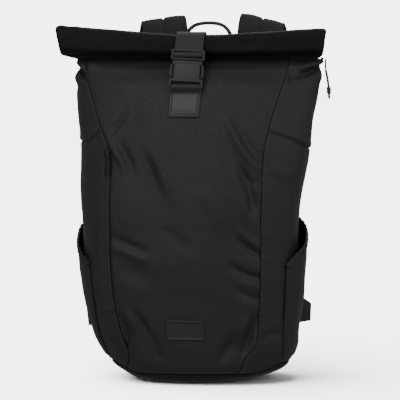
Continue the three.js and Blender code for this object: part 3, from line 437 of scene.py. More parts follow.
def from_edges(points):
    """Distance of each point of a grid from its first and last column, and from its first row."""
    run = np.cumsum(np.linalg.norm(np.diff(points, axis=1), axis=-1), axis=1)
    run = np.concatenate([np.zeros((len(points), 1)), run], axis=1)
    rise = np.cumsum(np.linalg.norm(np.diff(points, axis=0), axis=-1), axis=0)
    rise = np.concatenate([np.zeros((1, points.shape[1])), rise], axis=0)
    return run, run[:, -1:] - run, rise


def beside_seam(distance, along, seed):
    """The roll-in and the pucker of cloth at a distance from a seam."""
    rolled = -2.2 * bell(distance, 1.6) + 0.25 * bell(distance - 5, 3.2)
    pucker = np.sin(along * 2 * np.pi / 9.5 + 1.3 * wander(along, 0 * along, 60, seed))
    fade = np.exp(-distance / 7) * (1 - np.exp(-distance / 1.2))
    uneven = 0.6 + 0.4 * wander(along, 0 * along, 45, seed + 1)
    return rolled + 0.55 * pucker * fade * uneven


def creased(a, b, lines):
    """Narrow ridges (+) and creases (-) along drawn lines of the cloth."""
    total = np.zeros(a.shape)
    for places, width, depth in lines:
        line = even(np.array(places, float), 1.5)
        gap = np.hypot(a[..., None] - line[:, 0], b[..., None] - line[:, 1])
        nearest = gap.argmin(-1)
        fade = np.sin(np.pi * (nearest + 0.5) / len(line)) ** 0.6
        total += depth * bell(gap.min(-1), width) * fade
    return total


def seam_left(row):
    """Where the front panel's left seam is at a row of the skin."""
    return turn_at(smooth(SKIN, row)[..., 6], row, True, False)


def seam_right(row):
    """Where its right seam is."""
    return turn_at(smooth(SKIN, row)[..., 7], row, False, False)


def back_seam(row, left):
    """Where a seam of the back panel is."""
    return turn_at(0.84 + 0 * row, row, left, True)


def under_roll(z, relief, tucked):
    """The relief of a panel, tucked in by so many millimetres where it goes up into the roll."""
    hidden = np.clip((z - 429) / 7, 0, 1)
    return relief * (1 - hidden) - tucked * hidden


SEAM_LAP = 0.5 / 60  # how far the panels pass each other at the bottom of a seam, as an angle
UNDER_ROLL = NECK_HEIGHT + 1.0
CLOTH = 1.2  # thickness in millimetres
print("base seam at the front:", base_seam(1.5 * np.pi), "mm; at the sides:", base_seam(np.pi))

# %% [markdown]
# ## Front panel
# One wide panel of coated cloth from the base seam up to the roll. The load inside pushes it
# forward, and folds run from the upper right down to the middle and from the lower corners
# inwards. It is a fine grid, because its slow waves and puckers are what catches the light.

# %% Front panel
FRONT_CREASES = [
    ([(49, 362), (57, 348), (70, 323), (88, 298), (104, 290)], 5.0, 3.2),
    ([(60, 362), (70, 346), (82, 322), (97, 306), (108, 300)], 5.5, -2.8),
    ([(40, 340), (52, 322), (66, 297), (86, 275), (104, 268)], 7.0, -2.6),
    ([(60, 288), (70, 268), (77, 248), (80, 226)], 5.5, 2.4),
    ([(70, 292), (81, 272), (88, 250), (90, 228)], 5.0, -3.2),
    ([(72, 128), (88, 120), (104, 122)], 5.0, -2.4),
    ([(-30, 214), (-12, 196), (10, 184)], 8.0, -1.8),
    ([(18, 262), (34, 240), (44, 214)], 8.0, 1.8),
    ([(66, 214), (80, 200), (94, 190), (106, 187)], 6.0, 2.4),
    ([(68, 200), (82, 187), (96, 178), (108, 177)], 5.0, -3.6),
    ([(58, 166), (74, 154), (90, 148), (106, 148)], 5.0, -3.4),
    ([(54, 152), (72, 140), (90, 134), (104, 134)], 6.5, 1.8),
    ([(-104, 325), (-96, 314), (-88, 303), (-80, 284)], 5.0, 2.6),
    ([(-92, 327), (-83, 312), (-74, 296), (-68, 276)], 5.5, -2.4),
    ([(-48, 318), (-38, 300), (-29, 281), (-21, 258)], 8.0, 2.2),
    ([(-60, 316), (-50, 296), (-42, 276), (-36, 256)], 7.0, -2.2),
    ([(-104, 200), (-86, 194), (-68, 186), (-48, 180)], 6.0, -2.3),
    ([(-104, 186), (-84, 181), (-64, 173), (-46, 168)], 6.0, 2.0),
    ([(-91, 98), (-85, 82), (-80, 64), (-83, 46)], 5.0, -4.2),
    ([(-78, 98), (-71, 84), (-66, 68), (-66, 52)], 4.5, 3.0),
    ([(-68, 100), (-58, 84), (-50, 68)], 4.5, -3.2),
    ([(-44, 70), (-38, 52), (-36, 34)], 6.0, -2.2),
    ([(94, 98), (89, 80), (82, 60), (73, 40)], 5.5, -4.6),
    ([(82, 94), (75, 74), (66, 52)], 5.0, 2.8),
    ([(60, 62), (52, 44), (44, 32)], 6.0, -2.2),
    ([(-80, 367), (-86, 356), (-96, 343), (-102, 336)], 4.0, -2.4),
    ([(-120, 404), (-84, 398), (-50, 404)], 9.0, 1.2),
    ([(34, 404), (70, 396), (108, 402)], 9.0, 1.3),
]
turn, row = laid_out(
    lambda r: seam_left(r) - SEAM_LAP, lambda r: seam_right(r) + SEAM_LAP, UNDER_ROLL, 2.0
)
front_turn_grid, front_row_grid = turn, row
points = skin(turn, row)
x, z = points[..., 0], points[..., 2]
to_left, to_right, to_base = from_edges(points)
relief = (
    beside_seam(to_left, z, 11)
    + beside_seam(to_right, z, 12)
    + beside_seam(to_base, x, 13)
    + 1.35 * creased(x, z, FRONT_CREASES)
    + 0.7 * wander(x, z, 95, 14)
    + 0.2 * wander(x, z, 38, 15)
    + 0.05 * wander(x, z, 17, 16)
)
# the cloth lies flat under the patch and the label: middle across and up, half width and height
for middle_x, middle_z, half_x, half_z in ((-3, 382, 34, 32), (0, 76, 38, 24)):
    relief *= 1 - np.exp(-(((x - middle_x) / half_x) ** 4) - ((z - middle_z) / half_z) ** 4)
relief = under_roll(z, relief, 0.8)
# near the seams this mask pales the cloth with wear, and right at them it paints shade into the groove
edge_wear_and_shade = np.exp(-np.minimum(np.minimum(to_left, to_right), to_base) / 4)
front_points = points + outwards(turn, row) * relief[..., None]
front = piece("front_cloth", grid(front_points, edge_wear_and_shade), "front_panel")
thicken(front, CLOTH)
print("front panel:", front_points.shape[:2], "points, relief", relief.min().round(2), "to",
      relief.max().round(2))

# %% [markdown]
# ## Side panels
# Each side is cut in two at a yoke, a seam that runs outwards and down from the front seam a
# hand's width below the roll. The cloth is sewn to itself there, so the yoke is a groove with a
# puckered lip, and the upper part folds over under the roll's end.

# %% Side panels
def yoke(z_front, drop, reach):
    """Height of a yoke seam at a share of the way from the front seam to the back seam."""
    return lambda share: z_front - drop * np.clip(share / reach, 0, 1) ** 1.2


def side_panel(name, node, left, seed, yoke_line, creases):
    """A side panel with its yoke seam and folds."""
    if left:
        turn, row = laid_out(
            lambda r: back_seam(r, True) - SEAM_LAP, lambda r: seam_left(r) + SEAM_LAP, UNDER_ROLL, 2.0
        )
    else:
        turn, row = laid_out(
            lambda r: seam_right(r) - SEAM_LAP - 2 * np.pi, lambda r: back_seam(r, False) + SEAM_LAP,
            UNDER_ROLL, 2.0,
        )
    points = skin(turn, row)
    z = points[..., 2]
    first, last, to_base = from_edges(points)
    from_front = last if left else first
    share = from_front / (first + last)
    seam = z - yoke_line(share)
    relief = (
        beside_seam(first, z, seed)
        + beside_seam(last, z, seed + 1)
        + beside_seam(to_base, from_front, seed + 2)
        + beside_seam(np.abs(seam), from_front, seed + 3)
        + 1.2 * np.tanh(seam) * np.exp(-np.abs(seam) / 10) * np.minimum(from_front / 10, 1)
        + 1.25 * creased(from_front, z, creases)
        + 0.6 * wander(from_front, z, 70, seed + 4)
        + 0.25 * wander(from_front, z, 30, seed + 5)
        + 0.1 * wander(from_front, z, 15, seed + 6)
    )
    relief = under_roll(z, relief, 0.8 + 3.4 * np.clip(np.minimum(first, last) / 25, 0, 1))
    nearest = np.minimum(np.minimum(first, last), np.minimum(np.abs(seam), to_base))
    made = piece(
        name, grid(points + outwards(turn, row) * relief[..., None], np.exp(-nearest / 4)),
        node,
    )
    return thicken(made, CLOTH)


left_yoke, right_yoke = yoke(341, 17, 0.26), yoke(339, 24, 0.5)
left_side = side_panel("left_side_cloth", "side_panel_left", True, 31, left_yoke, [
    ([(2, 408), (9, 414), (20, 423), (34, 430)], 4.2, -8.0),
    ([(2, 418), (8, 424), (18, 432)], 4.0, 2.6),
    ([(4, 402), (20, 408), (40, 412)], 6.0, 2.2),
    ([(4, 400), (22, 394), (42, 398)], 6.0, -1.3),
    ([(14, 300), (34, 285), (56, 280)], 7.0, -1.4),
    ([(16, 262), (38, 250), (60, 248)], 8.0, 1.2),
    ([(60, 380), (84, 350), (96, 310)], 9.0, -1.6),
])
right_side = side_panel("right_side_cloth", "side_panel_right", False, 51, right_yoke, [
    ([(14, 411), (32, 417), (50, 424), (68, 430)], 5.0, -8.5),
    ([(20, 422), (40, 428), (60, 434)], 4.0, 2.4),
    ([(2, 424), (8, 414), (12, 402)], 4.0, -3.0),
    ([(10, 408), (36, 413), (64, 406)], 5.0, 1.8),
    ([(6, 384), (28, 376), (54, 380)], 8.0, -1.2),
    ([(8, 296), (30, 284), (54, 282)], 8.0, 1.4),
    ([(6, 62), (22, 70), (40, 66)], 5.0, -1.6),
    ([(60, 376), (86, 350), (98, 312)], 9.0, -1.6),
])
print("side panels:", len(left_side.data.vertices), len(right_side.data.vertices), "points")

# %% [markdown]
# ## Back panel and base
# The back is foam between two fabrics, quilted into pads with air channels between them, with a
# spacer mesh outside. The base is a heavier coated cloth that curls up to its own seam.

# %% Back panel and base
BACK_PAD = 6.0  # how far the pads stand out
CHANNELS = (240, 330)  # heights of the air channels that cross the back
turn, row = laid_out(
    lambda r: back_seam(r, False) - SEAM_LAP, lambda r: back_seam(r, True) + SEAM_LAP,
    SEAM_HEIGHT + 4, 2.2,
)
points = skin(turn, row)
x, z = points[..., 0], points[..., 2]
first, last, to_base = from_edges(points)
edge = np.minimum(np.minimum(first, last), to_base)
middle_x = (points[:, :1, 0] + points[:, -1:, 0]) / 2
channel = np.minimum.reduce([np.abs(x - middle_x)] + [np.abs(z - height) for height in CHANNELS])
quilted = (BACK_PAD - 0.8) * (1 - np.exp(-channel / 7)) * (1 - np.exp(-edge / 6))
relief = quilted + 0.8 + beside_seam(edge, z, 71) * 0.5 + 0.25 * wander(x, z, 40, 72)
back = piece(
    "back_pad", grid(points + outwards(turn, row) * relief[..., None], np.exp(-edge / 5)),
    "back_panel",
)
thicken(back, 1.5)

base_turn = np.linspace(0, 2 * np.pi, 221)[None, :]
share = np.linspace(0, 1, 46)[:, None]
flat = 0.45  # share of the way out that lies on the ground
curl = np.clip((share - flat) / (1 - flat), 0, 1)
top_edge = base_seam(base_turn) - 0.5
base_row = row_at(np.maximum(top_edge * curl, 0))
rim = skin(base_turn + 0 * share, base_row)
floor_rim = skin(base_turn, 0 * base_turn)
centre = np.array([0, smooth(SKIN, 0.0)[3:5].mean(), 0])
inner = centre + (floor_rim - centre) * np.clip(share / flat, 0.004, 1)[..., None]
points = np.where((share <= flat)[..., None], inner, rim)
normals = outwards(base_turn + 0 * share, base_row)
depth = np.linalg.norm(points - points[-1:], axis=-1)
relief = (beside_seam(depth, base_turn * 110, 81) + 0.2 * wander(base_turn * 110, depth, 24, 82)) * curl
points = points + normals * relief[..., None]
points[..., 2] = np.maximum(points[..., 2], 0.05)
base_mesh = grid(points[:, ::-1], np.exp(-depth / 5)[:, ::-1])
bmesh.ops.remove_doubles(base_mesh, verts=base_mesh.verts, dist=1e-6)
inner_edges = [e for e in base_mesh.edges if e.is_boundary and e.verts[0].co.z < 0.004]
bmesh.ops.holes_fill(base_mesh, edges=inner_edges)
bmesh.ops.reverse_faces(base_mesh, faces=base_mesh.faces)
base = thicken(piece("base_cloth", base_mesh, "base_panel"), 1.6)
print("back:", len(back.data.polygons), "faces, base:", len(base.data.polygons), "faces")

# %% [markdown]
# ## Rolled collar
# The collar is flattened and rolled forwards over itself, so it is one cloth tube that follows a
# spiral. At the ends the turns don't line up: each layer stops a little further in or out, and
# the folded edges fan open. The strap pulls the middle down, and creases run out from it.

# %% Rolled collar
LAYER, PITCH = 4.2, 5.0
ROLL_RADIUS = 15 - LAYER / 2
ROLL_Y = NECK_Y - ROLL_RADIUS
ROLL_LOW = NECK_HEIGHT + ROLL_RADIUS + LAYER / 2 + 0.35
ROLL_HIGH = NECK_HEIGHT + 47 - ROLL_RADIUS - LAYER / 2
PATCH_LOW, PATCH_WIDE, PATCH_TALL = 357, 42, 45
STRAP_LEAN = 0.055
# half turns rolled, how far the layer reaches left and right, in shares
ROLL_ENDS = [
    (0, 1.000, 0.990), (0.5, 0.985, 1.000), (1, 0.985, 0.995), (2, 0.992, 0.985),
    (3, 0.975, 0.980), (5, 0.940, 0.955),
]
HALF_TURNS = [row[0] for row in ROLL_ENDS]


def strap_x(height):
    """Where the closure strap's middle is at a height; it leans as it comes down."""
    return (height - PATCH_LOW) * STRAP_LEAN - 4


def squeezed(points):
    """The strap holds the roll down in its middle, so it stands lower there."""
    x, height = points[..., 0], points[..., 2]
    end = np.where(x < 0, 1.0, 0.88)
    tall = 0.66 + (end - 0.66) * np.minimum(np.abs(x) / ROLL_REACH, 1) ** 1.3
    above = height > NECK_HEIGHT
    lowered = NECK_HEIGHT + (height - NECK_HEIGHT) * tall
    return np.stack([x, points[..., 1], np.where(above, lowered, height)], -1)


stations = [(NECK_Y, h, 1.0, 0.0, -0.5) for h in np.linspace(430, 466, 12)]
for half in range(5):
    steps = 26 if half < 2 else 9
    centre_z = ROLL_HIGH if half % 2 == 0 else ROLL_LOW
    for share in np.arange(steps) / steps:
        radius = ROLL_RADIUS - PITCH / 2 * (half + share)
        angle = math.pi * (half + share)
        out_y, out_z = math.cos(angle), math.sin(angle)
        stations.append((ROLL_Y + radius * out_y, centre_z + radius * out_z, out_y, out_z, half + share))
    if half < 4:
        z_from, z_to = (ROLL_HIGH, ROLL_LOW) if half % 2 == 0 else (ROLL_LOW, ROLL_HIGH)
        radius = ROLL_RADIUS - PITCH / 2 * (half + 1)
        out_y = math.cos(math.pi * (half + 1))
        for share in (np.arange(6) / 6 if half < 2 else np.array([0.0])):
            place = z_from + (z_to - z_from) * share
            stations.append((ROLL_Y + radius * out_y, place, out_y, 0.0, half + 1.0))
stations = np.array(stations)
turns = np.clip(stations[:, 4], 0, 5)
end_rows = smooth(ROLL_ENDS, np.interp(turns, HALF_TURNS, np.arange(len(HALF_TURNS))))
u = np.linspace(0, 1, 241)
side = np.where(u < 0.5, -np.cos(2 * np.pi * u), np.cos(2 * np.pi * (u - 0.5)))
facing = np.where(u < 0.5, -1.0, 1.0)
reach = np.where(side[None] < 0, end_rows[:, 1:2], end_rows[:, 2:3]) * ROLL_REACH
# the ends lean inwards as they come down, and their upper corners are rounded
below_tip = np.clip((ROLL_HIGH + 7 - stations[:, 1:2]) / 36, 0, 1)
above_tip = np.clip((stations[:, 1:2] - ROLL_HIGH - 7) / 7, 0, 1)
reach = reach - np.where(side[None] < 0, 7.5, 3.5) * below_tip
reach = reach - np.where(side[None] < 0, 10, 7) * above_tip**2
at_neck = np.clip((439 - stations[:, 1:2]) / 6, 0, 1) * (stations[:, 4:5] < 0)
reach = reach + (np.where(side[None] < 0, 148, 170) - reach) * at_neck
x = side[None] * reach
half_thick = (LAYER / 2) * (1 - np.abs(side) ** 6) ** (1 / 6)
along_roll = np.cumsum(np.concatenate([[0], np.hypot(*np.diff(stations[:, :2], axis=0).T)]))[:, None]
outermost = np.exp(-np.maximum(turns - 1.6, 0) * 3)[:, None]
from_strap = np.abs(x - strap_x(462))
free = 1 - np.exp(-((from_strap / 30) ** 4))
pulled = bell(from_strap - 34, 26)
relief = (
    1.0 * wander(x, 3.2 * along_roll, 120, 91)
    + 0.55 * wander(x, 2.0 * along_roll, 46, 92)
    + 0.25 * wander(x, along_roll, 19, 93)
    + 0.2 * pulled * np.sin(along_roll / 3.4 + x / 9)
) * free * outermost
drop = 1.6 * np.sin(np.pi * np.clip((np.abs(x) - 120) / 64, 0, 1)) * (turns < 1.8)[:, None]
depth = facing[None] * half_thick[None] + relief - 0.4 * drop
y = stations[:, :1] + stations[:, 2:3] * depth
z = stations[:, 1:2] + stations[:, 3:4] * depth
roll_points = squeezed(np.stack(np.broadcast_arrays(x, y, z), -1))
# at the roll's folded ends this mask paints shade into the collar's colour
edge_wear_and_shade = np.exp(-(1 - np.abs(side)) * 60)[None] + 0 * x
roll_mesh = grid(roll_points, edge_wear_and_shade)
bmesh.ops.remove_doubles(roll_mesh, verts=roll_mesh.verts, dist=1e-6)
roll = piece("rolled_collar", roll_mesh, "roll_collar", closed=True)
print("roll:", len(roll.data.polygons), "faces")

# %% [markdown]
# ## Back wall of the neck
# Above the back pad the collar is a single cloth that slopes forward into the roll. It is a patch
# of the same skin, and starts a little below the pad's top edge so that no gap shows there.

# %% Back wall of the neck
row = row_at(np.linspace(SEAM_HEIGHT - 6, UNDER_ROLL, 14)[:, None])
back_left, back_right = back_seam(row, True), back_seam(row, False)
turn = back_right + (back_left - back_right) * np.linspace(0, 1, 130)[None, :]
points = skin(turn, row)
relief = 0.5 * wander(points[..., 0], points[..., 2], 40, 95) - 0.2
neck_mesh = grid(points + outwards(turn, row + 0 * turn) * relief[..., None])
neck_back = thicken(piece("neck_back_cloth", neck_mesh), 1.2)
print("neck:", len(neck_back.data.polygons), "faces")

# %% [markdown]
# ## Side pockets
# An open pocket on each side, cut with fullness so that a bottle pushes it out. Its mouth rises
# to the back and is bound with an elastic tape, which gathers the cloth just below it.

# %% Side pockets
def pocket(name, left, seed):
    """A pocket's cloth and the tape round its mouth."""
    v = np.linspace(0, 1, 78)[:, None]
    u = np.linspace(0, 1, 70)[None, :]
    from_front = 1 - u if left else u
    mouth = 160 + 64 * from_front**0.8
    row = row_at(34 + (mouth - 34) * v)
    front = turn_at((0.93 if left else 0.9) + 0 * row, row, left, False) - (0 if left else 2 * np.pi)
    rear = turn_at(0.9 + 0 * row, row, left, True)
    turn = front + (rear - front) * from_front
    swell = np.sin(np.pi * from_front) ** 0.7 * np.sin(np.pi / 2 * v) ** 0.8
    points = skin(turn, row)
    first, last, rise = from_edges(points)
    below = rise[-1:] - rise
    edge = np.minimum(first, last)
    gathers = np.sin(first * 2 * np.pi / 7.5 + 1.5 * wander(first, 0 * first, 50, seed))
    relief = (
        1.95 + (8.5 if left else 11) * swell
        + beside_seam(edge, rise, seed) * 0.45
        + beside_seam(rise, first, seed + 1) * 0.45
        + 0.55 * gathers * np.exp(-below / 14) * np.minimum(edge / 12, 1)
        + 0.9 * wander(first, rise, 60, seed + 2) * np.minimum(edge / 25, 1)
        + 0.3 * wander(first, rise, 24, seed + 3) * np.minimum(edge / 15, 1)
    )
    normals = outwards(turn, row)
    places = points + normals * relief[..., None]
    node = "side_pocket_left" if left else "side_pocket_right"
    made = piece(name, grid(places, np.exp(-np.minimum(rise, below) / 4)), node)
    thicken(made, 1.3)
    hem = places[-1] - normals[-1] * 0.6 + np.array([0, 0, -3.0])
    piece(
        name + "_binding", flat_tube(hem[1:-1], unit(places[-1] - places[-4])[1:-1], 9, 2.9, 5, 20),
        closed=True,
    )
    return made


left_pocket = pocket("left_pocket", True, 111)
right_pocket = pocket("right_pocket", False, 121)
print("pockets:", len(left_pocket.data.vertices), len(right_pocket.data.vertices), "points")

# %% [markdown]
# ## Patch and label
# The patch is a square of grained synthetic leather sewn over the foot of the closure strap,
# with a stitched line inside its edge. The label near the base is moulded rubber with a raised
# rim round a bare sunken field.

# %% Patch and label
def plate(name, node, centre_x, bottom, size, corner, profile):
    """A rounded plate on the bag's front; profile gives its height above the cloth."""
    width, height = size
    u = np.linspace(-1, 1, int(width / 0.6) + 1)[None, :]
    v = np.linspace(0, 1, int(height / 0.6) + 1)[:, None]
    z = bottom + height * v + 0 * u
    missing = corner - np.minimum(np.minimum(v, 1 - v) * height, corner)
    half = width / 2 - corner + np.sqrt(corner**2 - missing**2)
    x = centre_x(z) + u * half
    edge = np.minimum(half - np.abs(u * half), np.minimum(v, 1 - v) * height)
    row = row_at(z)
    turn = front_turn(x, row)
    points = off_skin(turn, row, profile(edge))
    made = piece(name, grid(points, np.exp(-edge / 1.5)), node)
    return thicken(made, 0.8)


def patch_height(edge):
    """The patch's rounded edge, with its stitched line pressed in."""
    rounded = 2.1 * (1 - np.exp(-((edge / 0.8) ** 1.3)))
    return rounded - 0.9 * bell(edge - 3.6, 0.9) + 0.25 * bell(edge - 1.7, 0.9) + 0.6


def label_height(edge):
    """The label's raised rim and its sunken field."""
    rim = 1.35 * (1 - np.exp(-((edge / 0.6) ** 1.5)))
    field = 0.75 * (1 / (1 + np.exp(-(edge - 3.4) / 0.35)))
    return 0.4 + rim - field


patch_piece = plate(
    "closure_patch_leather", "closure_patch", strap_x, PATCH_LOW,
    (PATCH_WIDE, PATCH_TALL), 2.5, patch_height,
)
label = plate(
    "rubber_label", "front_label", lambda z: 0 * z, 62, (53, 28), 6, label_height
)
print("patch:", len(patch_piece.data.polygons), "faces, label:", len(label.data.polygons))

# %% [markdown]
# ## Zip beside the left seam
# A covered zip: a cloth flap sewn down on its left side, whose folded edge stands over the coil.
# Only the slider at the top and its long soft pull are plain to see.

# %% Zip flap, coil, slider and pull
def seam_x(height):
    row = row_at(height)
    return skin(seam_left(row), row)[..., 0]


def on_front(x, height, out):
    """A place on the front with its own axes: across, up and away from the cloth."""
    row = row_at(np.array([float(height)]))
    turn = front_turn(np.array([float(x)]), row)
    away = outwards(turn, row)[0]
    up = unit(np.array([0.0, 0.0, 1.0]) - away * away[2])
    place = off_skin(turn, row, np.array([out]))[0]
    return place, np.cross(up, away), up, away


height = np.linspace(99, 319, 150)[:, None]
over = np.linspace(0, 1, 17)[None, :]
from_seam = 14 - 11.2 * np.sin(over * np.pi / 2 * 0.999) ** 0.9
row = row_at(height + 0 * over)
turn = front_turn(seam_x(height) - from_seam, row)
flap_out = 0.9 + 1.9 * over**1.6 + 0.18 * wander(height, 14 * over, 22, 131)
flap_out = flap_out + 0.25 * np.exp(-((over - 0.12) / 0.08) ** 2) - 0.9 * (over > 0.97)
# the mask along the flap's folded edge paints shade there, for the dark gap over the coil
flap = piece("zip_flap", grid(off_skin(turn, row, flap_out), np.exp(-(1 - over) * 9) + 0 * height),
             "front_zip")
thicken(flap, 1.0)

coil_z = np.linspace(101, 312, 420)
coil_row = row_at(coil_z)
coil_turn = front_turn(seam_x(coil_z) - 1.6, coil_row)
coil_path = off_skin(coil_turn, coil_row, 0.9 + 0 * coil_z)
coil = piece(
    "zip_coil",
    flat_tube(coil_path, (1, 0, 0), 3.4 + 0.5 * np.cos(coil_z * 2 * np.pi / 1.5),
              1.6 + 0.4 * np.cos(coil_z * 2 * np.pi / 1.5), 3, 12),
    closed=True,
)


def block(bm, centre, size, round_off, axes=None, segments=3, bow=0.0):
    """Adds a block with rounded edges, in millimetres; bow bends its long sides outwards."""
    part = bmesh.new()
    bmesh.ops.create_cube(part, size=1)
    bmesh.ops.scale(part, vec=size, verts=part.verts)
    sharp = list(part.edges)
    if bow:
        upright = [e for e in part.edges if abs(e.verts[0].co.y - e.verts[1].co.y) > 0.1]
        bmesh.ops.subdivide_edges(part, edges=upright, cuts=6, use_grid_fill=True)
        for vert in part.verts:
            vert.co.x += bow * math.cos(math.pi * vert.co.y / size[1])
        sharp = [e for e in part.edges if e.calc_face_angle(0) > 0.7]
    bmesh.ops.bevel(
        part, geom=sharp, offset=round_off, segments=segments, profile=0.5, affect="EDGES", material=-1
    )
    bmesh.ops.translate(part, vec=centre, verts=part.verts)
    if axes is not None:
        bmesh.ops.transform(part, matrix=axes, verts=part.verts)
    passed_on = bpy.data.meshes.new("block")
    part.to_mesh(passed_on)
    part.free()
    bm.from_mesh(passed_on)
    bpy.data.meshes.remove(passed_on)


def frame_matrix(place, across, up, away):
    """Millimetre axes at a place of the bag, as a matrix into the frame's metres."""
    turn = Matrix((across, up, away)).transposed().to_4x4()
    return Matrix.Translation(metres(place)) @ turn @ Matrix.Scale(0.001, 4)


slider_place = frame_matrix(*on_front(seam_x(309.0) - 3, 309, 3.8))
slider_mesh = bmesh.new()
block(slider_mesh, (0, 0, 0), (7.6, 8.6, 2.6), 0.9, slider_place)
block(slider_mesh, (0, 0.6, 1.5), (2.6, 5.4, 1.6), 0.6, slider_place)
piece("zip_slider_body", slider_mesh, "zip_slider", closed=True)
pull_place = frame_matrix(*on_front(seam_x(291.0) - 3, 291, 4.2))
pull_mesh = bmesh.new()
block(pull_mesh, (0, 0, 0), (6.4, 23, 1.9), 0.8, pull_place, bow=0.3)
block(pull_mesh, (0, 3, 0.35), (4.2, 13, 2.2), 0.7, pull_place)
block(pull_mesh, (0, 12.6, 0), (2.6, 4.6, 1.4), 0.5, pull_place)
piece("zip_pull_tab", pull_mesh, "zip_pull", closed=True)
print("zip:", len(flap.data.polygons), "faces of flap,", len(coil.data.polygons), "of coil")

# %% [markdown]
# ## Buckle
# A side-release buckle moulded in dark acetal: a housing whose two prongs bulge at its sides, and
# above it a ladder lock that grips the webbing. Every edge is rounded, as a mould leaves it.

# %% Buckle
buckle_low = 392.5
foot_row = row_at(np.array([buckle_low]))
foot_turn = front_turn(np.array([strap_x(buckle_low)]), foot_row)
buckle_foot = off_skin(foot_turn, foot_row, np.array([9.0]))[0]
lean = Matrix.Rotation(math.radians(71), 4, "X") @ Matrix.Rotation(-math.atan(STRAP_LEAN), 4, "Z")
buckle_axes = np.array(lean.to_3x3())


def by_buckle(up, away, across=0.0):
    """A point of the bag from the buckle's own axes."""
    return buckle_foot + buckle_axes @ np.array([across, up, away])


buckle_place = Matrix.Translation(metres(buckle_foot)) @ lean @ Matrix.Scale(0.001, 4)
housing = bmesh.new()
block(housing, (0, 1.3, 0), (44, 2.6, 5.0), 1.1, buckle_place)
for end in (-1, 1):
    block(housing, (end * 20.9, 6.0, 0), (3.0, 11.5, 5.4), 1.1, buckle_place)
    block(housing, (end * 20.3, 22.5, 0.2), (3.6, 18.5, 5.2), 1.4, buckle_place, bow=end * 0.9)
block(housing, (0, 10.2, 0.2), (42, 5.2, 6.2), 1.8, buckle_place)
block(housing, (0, 22.0, 0.4), (36, 24, 7.0), 2.6, buckle_place)
block(housing, (0, 34.4, 0), (40, 6.0, 5.6), 1.5, buckle_place)
housing_piece = piece("side_release_buckle", housing, "buckle_housing", closed=True)

LOCK_LENGTH, LOCK_BOTTOM = 14.6, 38.5


def ladder_lock(bm, width, bottom, place):
    """A ladder lock: three bars between two rails, with two slots for the webbing."""
    for middle in (1.3, 7.3, 13.3):
        block(bm, (0, bottom + middle, 0), (width - 2, 2.7, 3.3), 1.0, place)
    for end in (-1, 1):
        block(bm, (end * (width / 2 - 1.6), bottom + LOCK_LENGTH / 2, 0), (3.2, LOCK_LENGTH, 3.8),
              1.1, place)


lock = bmesh.new()
ladder_lock(lock, 45, LOCK_BOTTOM, buckle_place)
lock_piece = piece("buckle_ladder", lock, "buckle_ladder_lock", closed=True)
print("buckle:", len(housing_piece.data.polygons) + len(lock_piece.data.polygons), "faces")

# %% [markdown]
# ## Closure strap
# Woven webbing, sewn to the back, over the roll and down to the ladder lock, where it is threaded
# round the middle bar. A short loop of the same webbing holds the housing to the patch.

# %% Closure strap
WEBBING, WEB_THICK = 38.0, 1.6
THREADED = [
    (15.6, -2.95), (11.2, -2.95), (9.9, -2.1), (9.6, 0), (9.5, 2.0), (8.4, 2.95),
    (6.2, 2.95), (5.1, 2.0), (5.0, 0), (4.9, -2.05), (3.4, -2.95), (0.5, -2.95),
]
sewn = np.linspace(SEAM_HEIGHT - 44, SEAM_HEIGHT, 5)
line = list(off_skin(np.full(5, np.pi / 2), row_at(sewn), np.full(5, BACK_PAD + 1.15)))
radius = ROLL_RADIUS + LAYER / 2 + 0.7 + WEB_THICK / 2
dy, dz = line[-1][1] - ROLL_Y, line[-1][2] - ROLL_HIGH
leave = math.atan2(dz, dy) + math.acos(radius / math.hypot(dy, dz))
for angle in np.linspace(leave, math.pi, 10):
    slack = radius + 3.2 * max(math.sin(angle), 0) ** 2
    over = np.array([0, ROLL_Y + slack * math.cos(angle), ROLL_HIGH + slack * math.sin(angle)])
    line.append(squeezed(over))
line = np.array(line)
runs = np.linalg.norm(np.diff(line[:, 1:], axis=0), axis=1)
back_from_end = np.concatenate([np.cumsum(runs[::-1])[::-1], [0]])
line[:, 0] = strap_x(line[-1, 2]) + back_from_end * STRAP_LEAN
front_places = [by_buckle(LOCK_BOTTOM + up, away) for up, away in THREADED]
strap_line = even(np.concatenate([line, front_places]), 1.3)


def web_relief(seed, size=0.25):
    """Soft unevenness of webbing along its length, and its slightly raised edges."""
    def relief(count, side, tall):
        along = 1.3 * np.arange(count)[:, None]
        ends = np.minimum(along, along[::-1]) / 12
        waves = size * wander(along, 12 * side[None], 34, seed) * np.clip(ends, 0, 1)
        return waves + 0.12 * np.exp(-((np.abs(side) - 0.93) / 0.04) ** 2)[None] * np.sign(tall)
    return relief


strap = piece(
    "closure_webbing", flat_tube(strap_line, (1, 0, 0), WEBBING, WEB_THICK, 7, 44, web_relief(141, 0.15)),
    "closure_strap", closed=True,
)
loop_line = even([
    by_buckle(15, -5.3), by_buckle(8, -5.3), by_buckle(2, -5.2), by_buckle(-0.9, -3.6),
    by_buckle(-1.4, -0.6), by_buckle(-0.9, 2.4), by_buckle(1.2, 3.5), by_buckle(3.1, 2.6),
    by_buckle(3.6, 0), by_buckle(3.8, -2.4), by_buckle(6.0, -3.8), by_buckle(10, -3.9),
    by_buckle(15, -3.9),
], 1.0)
loop_mesh = flat_tube(loop_line, (1, 0, 0), WEBBING, 1.4, 7, 40)
loop = piece("buckle_loop", loop_mesh, closed=True)
print("closure strap:", len(strap.data.polygons), "faces, loop:", len(loop.data.polygons), "faces")

# %% [markdown]
# ## Haul loop
# Webbing sewn flat to the back pad at both feet, turned a quarter and folded on itself in the
# arch, so that it stands up behind the roll as a rounded handle.

# %% Haul loop
BACK_SHIFT = 22.0


